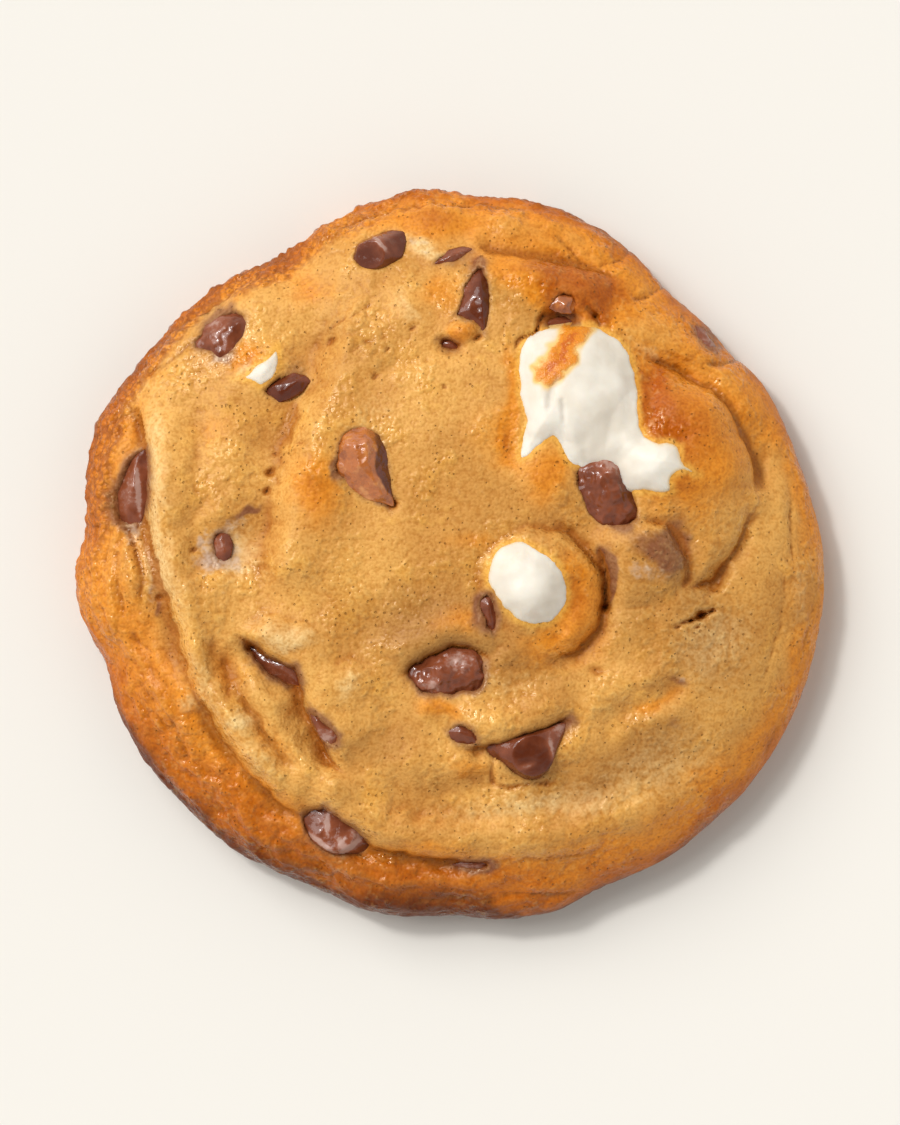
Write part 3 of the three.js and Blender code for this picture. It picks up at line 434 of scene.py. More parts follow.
def in_ellipse(x, y, at_x, at_y, reach_x, reach_y, heading):
    """Distance from an ellipse's centre, as a share of the way to its edge."""
    turn = math.radians(heading)
    dx, dy = x - at_x, y - at_y
    u = (dx * math.cos(turn) + dy * math.sin(turn)) / reach_x
    v = (dy * math.cos(turn) - dx * math.sin(turn)) / reach_y
    return np.hypot(u, v)


def inside_outline(corners, x, y):
    """Distance in from an outline's edge, negative outside it."""
    distance = np.full(x.shape, np.inf)
    inside = np.zeros(x.shape, bool)
    for (ax, ay), (bx, by) in zip(corners, corners[1:] + corners[:1]):
        dx, dy = bx - ax, by - ay
        part = np.clip(((x - ax) * dx + (y - ay) * dy) / (dx * dx + dy * dy), 0, 1)
        distance = np.minimum(distance, np.hypot(x - ax - part * dx, y - ay - part * dy))
        crosses = (ay > y) != (by > y)
        with np.errstate(divide="ignore", invalid="ignore"):
            inside ^= crosses & (x < ax + (y - ay) * dx / dy)
    return np.where(inside, distance, -distance)


def lumps(x, y, z, size, seed):
    """Soft noise from about -1 to 1 whose lumps are about size across."""
    shift = Vector((seed, 2.7 * seed, -1.3 * seed))
    return np.array([1.4 * noise.noise(Vector(p) + shift) for p in zip(x / size, y / size, z / size)])


def round_lip(t):
    """A quarter round: steep at 0 and level at 1."""
    return np.sqrt(1 - (1 - np.clip(t, 0, 1)) ** 2)


def fold_relief(x, y):
    """Height of every lap, roll, crease, swell and hole, and how strongly each place is painted with the
    shade in creases and holes.
    """
    height = np.zeros(x.shape)
    crease = np.zeros(x.shape)
    for rise, lip, near, drop, far, path in LAPS.values():
        distance, side, strength = measure_from(path, x, y)
        profile = round_lip(distance / lip) if lip < BROAD_LIP else ease(0, lip, distance)
        inner = -drop + (rise + drop) * profile
        inner = inner * np.exp(-(np.maximum(distance - lip, 0) / near) ** 2)
        outer = -drop * np.exp(-(distance / far) ** 2)
        height += strength * np.where(side > 0, inner, outer)
        # Painted shade along the crease, weaker for broad laps.
        shade_strength = min(drop / 1.5, 1) * min(2.5 / lip, 1) ** 2
        crease = np.maximum(crease, strength * shade_strength * np.exp(-(distance / LAP_SHADE) ** 1.3))
    for rise, width, path in ROLLS.values():
        distance, side, strength = measure_from(path, x, y)
        height += strength * rise * np.exp(-(distance / width) ** 2)
    for drop, width, path in CREASES.values():
        distance, side, strength = measure_from(path, x, y)
        height -= strength * drop * (1 - round_lip(distance / width))
        shade_strength = min(drop / 0.9, 1)
        crease = np.maximum(crease, strength * shade_strength * np.exp(-(distance / CREASE_SHADE) ** 1.3))
    for *ellipse, rise in SWELLS.values():
        share = in_ellipse(x, y, *ellipse)
        height += rise * np.clip(1 - share**2, 0, 1) ** 1.3
    for at_x, at_y, radius, depth in HOLES:
        share = in_ellipse(x, y, at_x, at_y, radius, radius * 0.8, 30)
        height -= depth * np.exp(-share**2 * 1.4)
        # Painted shade: holes darkened most.
        crease = np.maximum(crease, 1.3 * np.exp(-share**2 * 1.7))
    return height, crease


def dough_height(x, y):
    """Height of the dough's top at a place, without the pockets."""
    x, y = np.atleast_1d(float(x)), np.atleast_1d(float(y))
    return float(bare_height(x, y)[0] + fold_relief(x, y)[0][0])


def draw_down(rings):
    """From edit mode: the rim of a sheet is drawn down ring by ring, and closed below."""
    bpy.ops.mesh.select_all(action="SELECT")
    bpy.ops.mesh.region_to_loop()
    for _ in range(rings):
        bpy.ops.mesh.extrude_region_move(TRANSFORM_OT_translate={"value": (0, 0, -1)})
    bpy.ops.mesh.edge_face_add()
    bpy.ops.mesh.select_all(action="SELECT")
    bpy.ops.mesh.normals_make_consistent(inside=False)
    bpy.ops.object.mode_set(mode="OBJECT")
    bpy.ops.object.shade_smooth()


# A square grid is drawn down into side rings, then spread to the cookie's round form.
bpy.ops.object.select_all(action="DESELECT")
bpy.ops.mesh.primitive_grid_add(x_subdivisions=TOP_DIVISIONS, y_subdivisions=TOP_DIVISIONS, size=2)
dough = bpy.context.object
dough.name = "baked_dough"
bpy.ops.object.mode_set(mode="EDIT")
draw_down(SIDE_RINGS + len(UNDER_SHARES))


def read_places(piece):
    places = np.empty(3 * len(piece.data.vertices))
    piece.data.vertices.foreach_get("co", places)
    return places.reshape(-1, 3).T


def write_places(piece, x, y, z):
    piece.data.vertices.foreach_set("co", np.stack([x, y, z], axis=1).ravel())
    piece.data.update()


def read_slopes(piece):
    slopes = np.empty(3 * len(piece.data.vertices))
    piece.data.vertex_normals.foreach_get("vector", slopes)
    return slopes.reshape(-1, 3).T


def write_mask(piece, name, values):
    mask = piece.data.attributes.new(name, "FLOAT", "POINT")
    mask.data.foreach_set("value", np.clip(values, 0, 2).astype(np.float32))


def softened(piece, values, rounds):
    """Values averaged with their neighbours' along the edges, round after round."""
    ends = np.empty(2 * len(piece.data.edges), np.int64)
    piece.data.edges.foreach_get("vertices", ends)
    first, second = ends.reshape(-1, 2).T
    count = len(piece.data.vertices)
    degree = np.bincount(first, minlength=count) + np.bincount(second, minlength=count)
    for _ in range(rounds):
        total = np.bincount(first, values[second], count) + np.bincount(second, values[first], count)
        values = 0.5 * values + 0.5 * total / degree
    return values


u, v, level = read_places(dough)
ring = np.maximum(np.abs(u), np.abs(v))
across = np.abs(u) >= np.abs(v)
with np.errstate(divide="ignore", invalid="ignore"):
    angle = np.where(across, np.pi / 4 * v / u + np.pi * (u < 0),
                     np.pi / 2 - np.pi / 4 * u / v + np.pi * (v < 0))
angle = np.where(ring < 1e-9, 0, angle)
side_step = np.clip(-level / SIDE_RINGS, 0, 1)  # 0 at the shoulder and 1 at the foot
sunk = np.clip(side_step / BULGE_PART, 0, 1)
high = WIDEST_HEIGHT + (crown_height(SHOULDER) - WIDEST_HEIGHT) * (1 - sunk)
over = (1 - ((high - WIDEST_HEIGHT) / (CROWN_HEIGHT - WIDEST_HEIGHT)) ** 2) ** (1 / CROWN_POWER)
under = np.clip((side_step - BULGE_PART) / (1 - BULGE_PART), 0, 1) * np.pi / 2
share = np.where(side_step < BULGE_PART, over, 1 - FOOT_INSET * (1 - np.cos(under)))
height = np.where(side_step < BULGE_PART, high, WIDEST_HEIGHT * (1 - np.sin(under)))
on_top = level > -0.5  # all that is above the first side ring
top_share = SHOULDER * ring**TOP_SPREAD
share = np.where(on_top, top_share, share)
height = np.where(on_top, crown_height(top_share), height)
under_rings = np.round(-level - SIDE_RINGS).astype(int)
for step, inner in enumerate(UNDER_SHARES, start=1):
    share = np.where(under_rings == step, inner * (1 - FOOT_INSET), share)
x = share * outline_radius(angle) * np.cos(angle)
y = share * outline_radius(angle) * np.sin(angle)
write_places(dough, x, y, height)


def baked_surface(x, y, height, crumbly=1.0):
    """Height of the folds and lumps over the bare crown, and how strongly each place is painted with crease
    shade.
    """
    wobble_x = 0.5 * lumps(x, y, height, 5, 3) + 0.22 * lumps(x, y, height, 1.7, 5)
    wobble_y = 0.5 * lumps(x, y, height, 5, 7) + 0.22 * lumps(x, y, height, 1.7, 9)
    folded, crease = fold_relief(x + wobble_x, y + wobble_y)
    swirl = 0.5 * lumps(x, y, height, 21, 2) + 0.25 * lumps(x, y, height, 9, 4)
    knobs = 0.36 * lumps(x, y, height, 6, 16) + 0.07 * lumps(x, y, height, 2.8, 13)
    crumb = 0.03 * lumps(x, y, height, 1.4, 14) + 0.02 * lumps(x, y, height, 0.8, 15)
    smooth_crown = 1 - 0.6 * np.exp(-(in_ellipse(x, y, -3, 8, 22, 20, 0)) ** 4)
    crags = 0.28 * lumps(x, y, height, 2.2, 17) + 0.16 * lumps(x, y, height, 1.1, 18)
    for *ellipse, strength in CRAGGY:
        crumb += crags * strength * np.exp(-in_ellipse(x, y, *ellipse) ** 4)
    return folded + swirl + crumbly * smooth_crown * (knobs + crumb), crease


slope = read_slopes(dough)
surface, crease = baked_surface(x, y, height)
radius = np.hypot(x, y)
rim = ease(0.925, 0.95, share) * (side_step < 0.9)
rim_length = angle * RIM_RADIUS
along_rim = lumps(rim_length / 3.2, radius / 1.2, height / 2, 1, 11)
fine_rim = lumps(rim_length / 1.4, radius / 0.9, height / 1.1, 1, 12)
bubbles = 0.6 * np.abs(along_rim) + 0.5 * np.abs(fine_rim) - 0.35
blistered = 0.3 + 0.8 * near_heading(angle, 128, 58, 4)
surface += rim * blistered * bubbles * (1 + ease(0.94, 1, share))

wrinkled = near_heading(angle, 222, 62, 4) * ease(0.8, 0.88, share) * (side_step < 0.9)
along_folds = lumps(rim_length / 7, radius / 3, height / 3, 1, 51)
fine_folds = lumps(rim_length / 3.4, radius / 1.6, height / 1.6, 1, 53)
wrinkles = np.exp(-(lumps(rim_length / 5, radius / 2.4, height / 2.4, 1, 55) / 0.1) ** 2)
surface += wrinkled * (0.6 * along_folds + 0.42 * fine_folds - 0.35 * wrinkles)

# Pockets for what is baked in, each with a lip of dough melted on to it.
smear = np.zeros(x.shape)
ragged = 0.3 * lumps(x, y, height, 1.7, 21) + 0.16 * lumps(x, y, height, 0.7, 22)
for stain, outline in OPENINGS.values():
    inward = inside_outline(outline, x, y) + 0.5 * ragged
    depth = POCKET_DEPTH * (1 - ease(0.92, 0.97, share))
    surface += -depth * ease(0.1, 0.8, inward) + 0.05 * np.exp(-((inward + 0.4) / 0.5) ** 2)
    smear = np.maximum(smear, stain * np.exp(np.minimum(inward, 0) / (1.1 + ragged)))
    # A thin ring of painted shade where the dough meets each piece.
    crease = np.maximum(crease, 0.5 * np.exp(-((inward - 0.2) / 0.3) ** 2))
white = np.zeros(x.shape)
for outline in MARSHMALLOWS.values():
    inward = inside_outline(outline, x, y) + 0.4 * ragged
    surface -= POCKET_DEPTH * ease(1.2, 2.4, inward)
    white = np.maximum(white, np.exp(np.minimum(inward, 0) / 0.8))
fade = ease(0, WIDEST_HEIGHT, height) * (1 - 0.6 * ease(0.93, 1, share))
tilt = ease(0.82, 0.96, share)
push = np.stack([tilt * slope[0], tilt * slope[1], 1 - tilt + tilt * slope[2]])
push /= np.linalg.norm(push, axis=0)
x, y, z = np.stack([x, y, height]) + push * fade * surface
lowest, highest = np.array(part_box("dough")) / MM
x = np.clip(x, lowest[0], highest[0])
y = np.clip(y, lowest[1], highest[1])
z = np.maximum(z, 0)
write_places(dough, x * MM, y * MM, z * MM)


def patches(places, x, y, sharpness=1.6):
    """The strengths of soft-edged patches at each place, added up."""
    total = np.zeros(x.shape)
    for *ellipse, strength in places:
        total += strength * np.exp(-(in_ellipse(x, y, *ellipse) ** 2) * sharpness)
    return total


# Masks for the finish: how browned, toasted, pale or smeared the crust is, and how low it lies, for painted
# shade in its creases, hollows and valleys and painted light on its bumps.
# The brown of the rim starts at a share of the radius, and further in at some headings:
# heading and spread in degrees, power of the fall-off, how much further.
BROWNED_FROM = 0.93
BROWNED_FURTHER = (
    (212, 50, 2, 0.13), (275, 28, 2, 0.08), (320, 35, 2, 0.05), (75, 40, 2, 0.025), (136, 30, 4, -0.03),
)
browned_from = np.full(x.shape, BROWNED_FROM)
for *sector, further in BROWNED_FURTHER:
    browned_from -= further * near_heading(angle, *sector)
true_share = np.hypot(x, y) / outline_radius(angle)
uneven = 0.03 * lumps(x, y, z, 7, 31) + 0.012 * lumps(x, y, z, 2, 32)
darkest = near_heading(angle, 252, 42)
upper_left = near_heading(angle, 140, 42, 4)
browning = ease(-0.06, 0.09, true_share - browned_from + uneven) * (0.5 + 0.5 * darkest)
browning += 0.3 * near_heading(angle, 271, 11) * ease(0.9, 0.95, true_share)
browning += 0.3 * ease(0.93, 0.99, true_share + uneven) + 0.3 * ease(0.97, 1.005, true_share + 0.5 * uneven)
browning += 0.12 * near_heading(angle, 218, 20) * ease(0.88, 0.95, true_share)
browning *= 1 - 0.6 * near_heading(angle, 356, 26)
browning *= 1 - 0.3 * near_heading(angle, 183, 16)
browning += 0.26 * upper_left * ease(0.93, 0.95, true_share + 0.6 * uneven) * (1 - ease(0.96, 1, true_share))
browning += 0.2 * ease(6, 2, z)
level_part = 1 - ease(0.94, 0.985, true_share)
# For painted shade in hollows and valleys and painted light on bumps: how far each place lies below the
# ground around it, close by and further round.
hollow = (softened(dough, z, 14) - z) * level_part
valley = (softened(dough, z, 90) - z) * level_part
stray_x = x + (lumps(x, y, height, 5, 3) + 0.6 * lumps(x, y, height, 1.8, 5))
stray_y = y + (lumps(x, y, height, 5, 7) + 0.6 * lumps(x, y, height, 1.8, 9))
patchy = {"toast": TOASTED, "pale": PALE_AND_LIT, "shaded_tan": SHADED_TAN, "frost": FROSTED, "crag": CRAGGY, "butter": BUTTERY}
for name, places in patchy.items():
    write_mask(dough, name, patches(places, stray_x, stray_y))
write_mask(dough, "smear", smear + patches(SMEARED, stray_x, stray_y))
write_mask(dough, "browning", browning)
write_mask(dough, "blister", upper_left * ease(0.925, 0.945, true_share + 0.5 * uneven) + 0.25 * wrinkled)
# Painted shade in creases, in holes and round the pieces.
write_mask(dough, "crease", crease)
write_mask(dough, "white", white)
write_mask(dough, "hollow", 0.5 + hollow / 0.5)  # 0.5 on level ground
write_mask(dough, "valley", 0.5 + valley / 2)
write_mask(dough, "flank", ease(0.93, 0.985, true_share))


class Wire:
    """The output of a material's node, which can be added, multiplied and so on."""

    def __init__(self, finish, socket):
        self.finish = finish
        self.socket = socket

    def __add__(self, other):
        return self.finish.math("ADD", self, other)

    def __sub__(self, other):
        return self.finish.math("SUBTRACT", self, other)

    def __rsub__(self, other):
        return self.finish.math("SUBTRACT", other, self)

    def __mul__(self, other):
        return self.finish.math("MULTIPLY", self, other)

    __radd__ = __add__
    __rmul__ = __mul__


class Finish:
    """A material under construction, with its shader and its nodes."""

    def __init__(self, name, **constants):
        self.material = bpy.data.materials.new(name)
        self.material.use_nodes = True
        self.tree = self.material.node_tree
        self.shader = self.tree.nodes["Principled BSDF"]
        for socket, value in constants.items():
            self.shader.inputs[socket.replace("_", " ")].default_value = value
        self.place = self.node("ShaderNodeTexCoord", output="Object")

    def node(self, kind, settings=None, sockets=None, output=0):
        made = self.tree.nodes.new(kind)
        for name, value in (settings or {}).items():
            setattr(made, name, value)
        for name, value in (sockets or {}).items():
            if isinstance(value, Wire):
                self.tree.links.new(value.socket, made.inputs[name])
            else:
                made.inputs[name].default_value = value
        return Wire(self, made.outputs[output])

    def math(self, operation, *terms):
        return self.node("ShaderNodeMath", {"operation": operation}, dict(enumerate(terms)))

    def mask(self, name):
        return self.node("ShaderNodeAttribute", {"attribute_name": name}, output="Fac")

    def ramp(self, value, low, high):
        """0 to 1, smoothly, as value goes from low to high."""
        sockets = {"Value": value, "From Min": low, "From Max": high}
        return self.node("ShaderNodeMapRange", {"interpolation_type": "SMOOTHSTEP"}, sockets)

    def mottle(self, size_mm, detail=2.0, roughness=0.5):
        """Noise from 0 to 1 whose lumps are about size_mm across."""
        sockets = {"Vector": self.place, "Scale": 0.6 / (size_mm * MM), "Detail": detail}
        return self.node("ShaderNodeTexNoise", None, {**sockets, "Roughness": roughness})

    def blend(self, factor, first, second, mode="MIX"):
        """Two colours mixed, each a link or red, green and blue as seen on screen, 0 to 255."""
        sides = [side if isinstance(side, Wire) else screen_colour(*side) for side in (first, second)]
        settings = {"data_type": "RGBA", "blend_type": mode}
        return self.node("ShaderNodeMix", settings, {0: factor, 6: sides[0], 7: sides[1]}, output=2)

    def layer(self, below, where, low, high, strength, above, mode="MIX"):
        """A colour over another, coming in as where goes from low to high."""
        return self.blend(self.ramp(where, low, high) * strength, below, above, mode)

    def bump(self, height, distance_mm, strength=1.0):
        sockets = {"Height": height, "Distance": distance_mm * MM, "Strength": strength}
        return self.node("ShaderNodeBump", None, sockets)

    def connect(self, **sockets):
        for name, wire in sockets.items():
            self.tree.links.new(wire.socket, self.shader.inputs[name.replace("_", " ")])
        return self.material


def screen_colour(*rgb):
    """A shader colour for red, green and blue as seen on screen, 0 to 255."""
    return (*[(c / 255 / 12.92) if c <= 10 else ((c / 255 + 0.055) / 1.055) ** 2.4 for c in rgb], 1)


crust = Finish("baked_crust", IOR=1.4, Specular_Tint=(1, 0.84, 0.6, 1))
broad = crust.mottle(8, 1)
medium = crust.mottle(2.2, 2, 0.6)
grain = crust.mottle(0.55, 1, 0.65)
fine = crust.mottle(0.25, 0)
wet = crust.ramp(crust.mottle(5, 0) + (medium - 0.5) * 0.8 + crust.mask("butter") * 0.2, 0.48, 0.68)
browned = crust.mask("browning") + (medium - 0.5) * 0.35
toasted = crust.mask("toast") + (broad - 0.5) * 0.3 + (medium - 0.5) * 0.1
smeared = crust.mask("smear") + (medium - 0.5) * 0.5 + (grain - 0.5) * 0.2
pores = crust.node("ShaderNodeTexVoronoi", {"feature": "F1"},
                   {"Vector": crust.place, "Scale": 1 / (1.0 * MM), "Randomness": 1.0}, output="Distance")
pitted = pores + (fine - 0.5) * 0.3 - (medium - 0.5) * 0.5
blister = crust.mask("blister")
# Colours laid one over another: where, from and to which value, how strongly, and the colour.
CRUST_LAYERS = (
    (medium, 0.5, 0.75, 0.4, (242, 182, 84)),
    # Painted shade: darker tan on low ground and on slopes facing away from the light.
    (crust.mask("shaded_tan") + (medium - 0.5) * 0.4, 0.0, 1.0, 0.9, (177, 122, 60)),
    (browned, 0.0, 0.45, 1, (228, 142, 44)),
    (browned, 0.4, 0.95, 1, (198, 106, 20)),
    (browned, 0.85, 1.4, 1, (100, 36, 0)),
    (toasted, 0.05, 0.7, 1, (226, 140, 40)),
    (toasted, 0.6, 1.4, 1, (180, 88, 8)),
    # Cream: paler dough, partly painted highlights and painted light.
    (crust.mask("pale") + (grain - 0.5) * 0.5, 0.1, 1.0, 0.75, (246, 212, 150)),
    (crust.mask("white") + (grain - 0.5) * 0.3, 0.2, 0.9, 0.7, (240, 178, 76)),
    (smeared, 0.2, 0.85, 0.9, (132, 80, 58)),
    (crust.mask("frost") + (grain - 0.5) * 1.2, 0.2, 1.1, 0.75, (206, 178, 156)),
    # Painted shade: creases darkened, and holes near black.
    (crust.mask("crease") + (medium - 0.5) * 1.2, 0.2, 1.0, 0.6, (128, 70, 22)),
    (crust.mask("crease"), 1.02, 1.25, 0.9, (44, 18, 4)),
    # Painted shade: darker in broad valleys and small hollows.
    (crust.mask("valley"), 0.55, 1.2, 0.6, (146, 86, 28)),
    (crust.mask("hollow"), 0.52, 1.0, 0.6, (170, 94, 18)),
    # Painted light: lighter on bumps that stand above the ground around.
    (crust.mask("hollow"), 0.48, 0.1, 0.4, (110, 84, 44), "SCREEN"),
    # Painted highlights: pale glints on the tops of the grain, most where the crust is wet.
    (grain, 0.52, 0.7, wet * 0.3 + 0.16, (130, 102, 60), "SCREEN"),
    (grain, 0.5, 0.3, 0.4, (218, 192, 140), "MULTIPLY"),
    (fine, 0.55, 0.3, 0.35, (208, 184, 138), "MULTIPLY"),
    (pitted, 0.13, 0.04, 0.42, (124, 68, 10)),
    (pores, 0.36, 0.62, blister * 0.6, (146, 76, 32)),
)
colour = crust.blend(crust.ramp(broad, 0.36, 0.64), (208, 146, 70), (228, 168, 86))
for layer in CRUST_LAYERS:
    colour = crust.layer(colour, *layer)
coarse = crust.mask("crag") * 0.3 + crust.ramp(browned, 0.2, 0.6) * 0.18
relief = medium * (0.1 + wet * 0.2 + coarse) + grain * (0.13 + wet * 0.1 + coarse * 0.25)
relief = relief + fine * 0.08 - crust.ramp(pitted, 0.13, 0.04) * 0.2 - pores * blister * 0.7
gloss = 0.5 - wet * 0.3 - crust.ramp(browned, 0.2, 0.8) * 0.14
gloss = gloss + crust.mask("flank") * 0.1 + (grain - 0.5) * 0.4
crust_material = crust.connect(Base_Color=colour, Roughness=gloss, Normal=crust.bump(relief, 0.8, 1.0))
dough.data.materials.append(crust_material)
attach(dough, "root")
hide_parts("dough")

# ---- The chocolate --------------------------------------------------------------------------
# Milk chocolate chips and broken chunks, softened in the oven and set again: flat broken faces
# with rounded edges, a satin shine, a pale bloom where fat came to the surface, and pale streaks painted as
# highlights along some edges.
# Each is the hull of its outline and of its high corners (x, y, rise above the dough around).
# The first number is the outline's own rise: below 0 the dough creeps over the edge.
CHUNKS = {
    "chip_top": (-0.2, [(-9.4, 45.6, 1.5), (-7.9, 45.4, 1), (-8.2, 43.6, 1)]),
    "chunk_upper_left": (-0.5, [
        (-35, 31.7, 0.6), (-33.4, 32.7, 0.9), (-31.4, 33, 0.7), (-33.4, 33.8, 0.5)]),
    "chip_wedge": (-0.3, [(-25.4, 24.3, 0.7), (-22.2, 24.9, 0.8), (-24.6, 23.1, 0.6)]),
    "chunk_left_rim": (-0.5, [(-45.7, 13.9, 0.4), (-46, 12, 1), (-46.2, 9.5, 1.2), (-47, 6.5, 0.7)]),
    "chip_frosted": (0.2, [(-33.4, 1.8, 1), (-32.6, 0, 0.9), (-33, 2.4, 0.9)]),
    "chunk_fold": (-1.3, [
        (-27, -15.8, -0.4), (-24.4, -17, -0.2), (-22.6, -16.6, -0.1), (-22.4, -18.4, -0.4)]),
    "sliver_fold": (-1, [(-18.8, -25, -0.4), (-17.2, -26.6, -0.4)]),
    "chunk_centre": (-0.9, [
        (-4, -17.4, 0.3), (-2.6, -17, 0.5), (-1.4, -19.2, 0.1), (1, -15.6, 0.4), (3.4, -16.4, 0.5),
        (2.2, -18.6, 0.3)]),
    "chip_centre": (-0.8, [(1.4, -26, 0), (3, -26.6, 0.1)]),
    "chunk_glossy": (-1.2, [
        (12, -29.2, 1.9), (10.2, -27.8, 1), (12.8, -27.2, 1.2), (14.2, -28.8, 1), (13.2, -31.2, 0.7),
        (10.8, -31.3, 0.4), (9.4, -29.6, 0.6), (15.4, -26, -0.2)]),
    "chunk_lower_left": (-0.7, []),
    "chunk_tall": (-0.6, [
        (4.4, 39.6, 0.8), (4.7, 36.6, 1.1), (3.2, 37.4, 0.7), (2.6, 35.3, 0.5), (4.8, 33.6, 0.5)]),
    "flake_top": (-0.4, [(0.2, 43.2, 0.4), (1.6, 43.8, 0.3)]),
    "chip_hollow": (-0.8, [(0, 30.4, 0)]),
    "chip_recess": (0, [(15, 33.9, 0.3), (17.4, 33.9, 0.3)]),
    "chunk_marshmallow": (0.3, [
        (21.4, 11.6, 2.2), (23.8, 11.6, 2.1), (22.4, 8.6, 2.5), (24.8, 8, 2.1), (23, 5.8, 1.8),
        (25.6, 5.8, 1.7), (20.4, 9.6, 1.5)]),
    "chip_marshmallow": (-0.7, [(5.6, -7.6, 0.2), (5.8, -9.4, 0)]),
    "chip_lower_edge": (-0.7, [(3.4, -45.5, 0)]),
    "chunk_side": (-0.2, [(37.6, 31.4, 0.5)]),
}
CARAMELISED = {
    "chunk_caramel": (-0.2, [
        (-15, 15.6, 1.9), (-13.8, 15.6, 2.7), (-12, 16, 2.6), (-11.8, 13.4, 2.7), (-13.2, 12.6, 2.4),
        (-11.2, 10.4, 1.9), (-9.8, 8.4, 1.1), (-10.2, 13.6, 1)]),
    "crumb_caramel": (-0.4, [(15.8, 36.9, 0.6), (17, 36, 0.9)]),
}
# Round broken faces: centre, radius, rise of the centre above the dough, tilt and heading in degrees.
FACES = {
    "chip_top": (-11.6, 43.4, 2.1, 1.7, 24, 195),
    "chunk_lower_left": (-16.9, -40.3, 3.1, 0.7, 15, 118),
    "chunk_centre": (-3.2, -18.2, 1.7, 0.6, 24, 200),
    "chunk_glossy": (12, -29.4, 3, 1.6, 12, 300),
}
FACE_CORNERS = 16
CHUNK_DEPTH = 4  # below the dough around
CREEP = 0.35  # how far a sunk piece reaches in under the dough
UNDERCUT = 0.8  # how far its lower outline draws in
# How rough the skin of each is, and of all the others.
KNOBBLY = {"chunk_centre": 0.42, "chunk_marshmallow": 0.36, "crumb_caramel": 0.3,
           "chunk_upper_left": 0.2, "chunk_caramel": 0.16}
SMOOTH_SKIN = 0.08
SKIN_STEP = 0.18  # size of the skin's faces
ROUNDING = 3  # rounds of smoothing over its edges


def add_chunk(outline, edge_rise, corners, face):
    """The hull of an outline, its high corners, its round face and a smaller outline below."""
    middle = np.mean(outline, axis=0)
    lap = dough_height(*middle) - bare_height(*middle)
    points = list(corners)
    spread = CREEP if edge_rise < 0 else 0.6 * CREEP
    for px, py in outline:
        away = np.array((px, py)) - middle
        away /= np.linalg.norm(away)
        points.append((px + spread * away[0], py + spread * away[1], edge_rise))
        points.append((px - UNDERCUT * away[0], py - UNDERCUT * away[1], -CHUNK_DEPTH))
    raised = [(px * MM, py * MM, float(bare_height(px, py) + lap + rise) * MM) for px, py, rise in points]
    if face:
        at_x, at_y, radius, rise, tilt, heading = face
        level = bare_height(at_x, at_y) + lap + rise
        for step in range(FACE_CORNERS):
            turn = math.tau * step / FACE_CORNERS
            fall = radius * math.cos(turn - math.radians(heading)) * math.tan(math.radians(tilt))
            px, py = at_x + radius * math.cos(turn), at_y + radius * math.sin(turn)
            raised.append((px * MM, py * MM, float(level - fall) * MM))
    mesh = bpy.data.meshes.new("chunk")
    mesh.from_pydata(raised, [], [])
    chunk = bpy.data.objects.new("chunk", mesh)
    bpy.context.collection.objects.link(chunk)
    bpy.ops.object.select_all(action="DESELECT")
    chunk.select_set(True)
    bpy.context.view_layer.objects.active = chunk
    bpy.ops.object.mode_set(mode="EDIT")
    bpy.ops.mesh.select_all(action="SELECT")
    bpy.ops.mesh.convex_hull()
    bpy.ops.object.mode_set(mode="OBJECT")
    return chunk


def finish_shape(piece, roughness, seed):
    """Rounds a piece's edges, then makes its skin uneven."""
    remesh = piece.modifiers.new("skin", "REMESH")
    remesh.mode = "VOXEL"
    remesh.voxel_size = SKIN_STEP * MM
    remesh.use_smooth_shade = True
    bpy.ops.object.modifier_apply(modifier="skin")
    smooth = piece.modifiers.new("rounding", "SMOOTH")
    smooth.factor = 0.5
    smooth.iterations = ROUNDING
    bpy.ops.object.modifier_apply(modifier="rounding")
    places = read_places(piece) / MM
    skin = roughness * (lumps(*places, 2.2, seed) + 0.4 * lumps(*places, 0.8, seed + 1))
    write_places(piece, *((places + skin * read_slopes(piece)) * MM))


# Where the skin is bloomed or has a pale streak painted as a highlight (1), and where it is dark and clear
# (-1): centre, reach both ways, heading, strength.
BLOOM_AND_HIGHLIGHTS = (
    (1.6, -15.8, 3, 1.8, 10, 0.6), (-3, -19.4, 2, 1.4, 0, 0.6), (-46.6, 9, 1.6, 5, 5, 0.45),
    (-34, 32.6, 2, 2.4, 30, 0.5), (-10.1, 44.9, 1.6, 0.35, -48, 1.3), (23, 12.8, 3, 1.2, -20, 0.5),
    (-33.6, 1.2, 1.2, 2, 0, 0.5), (1.6, 43.6, 3, 1, 15, 0.4), (-25, -17.4, 3, 1.6, -30, 0.4),
    (-18, -27, 2, 1.6, -50, 0.7), (12, -29.4, 4, 3.6, 0, -0.35), (-17.9, -39.3, 0.5, 2.2, 0, 1),
    (-15.8, -42.3, 0.9, 1.1, 0, 0.9), (-13.9, -41, 1.1, 0.8, -40, 0.8), (-18.8, -42.2, 2.6, 0.4, -38, 1.4),
    (-14.4, -42.7, 2, 0.4, 36, 1.3), (14.7, -28.4, 0.4, 1.6, 10, 1.1), (15.8, -25.6, 1.6, 1.6, 30, 0.7),
    (7, -28.6, 1.6, 1, 0, 0.2), (11.2, -30.9, 1.2, 0.4, 20, 0.9), (-45.4, 9, 0.4, 4, 4, 1),
    (-23.6, 23.8, 4, 2, 20, -0.4), (-12.2, 43, 2.2, 1.6, 10, -0.5), (4.4, 37.4, 1.6, 4, 0, -0.3),
    (3.2, -46, 3, 1, 0, 0.6), (38, 31, 2, 2, 0, 0.5),
)
chocolate = Finish("milk_chocolate", IOR=1.48)
cloud = chocolate.mottle(2.2, 3, 0.6)
speck = chocolate.mottle(0.45, 3, 0.6)
bloom_and_highlight = chocolate.mask("bloom_and_highlight") - 1
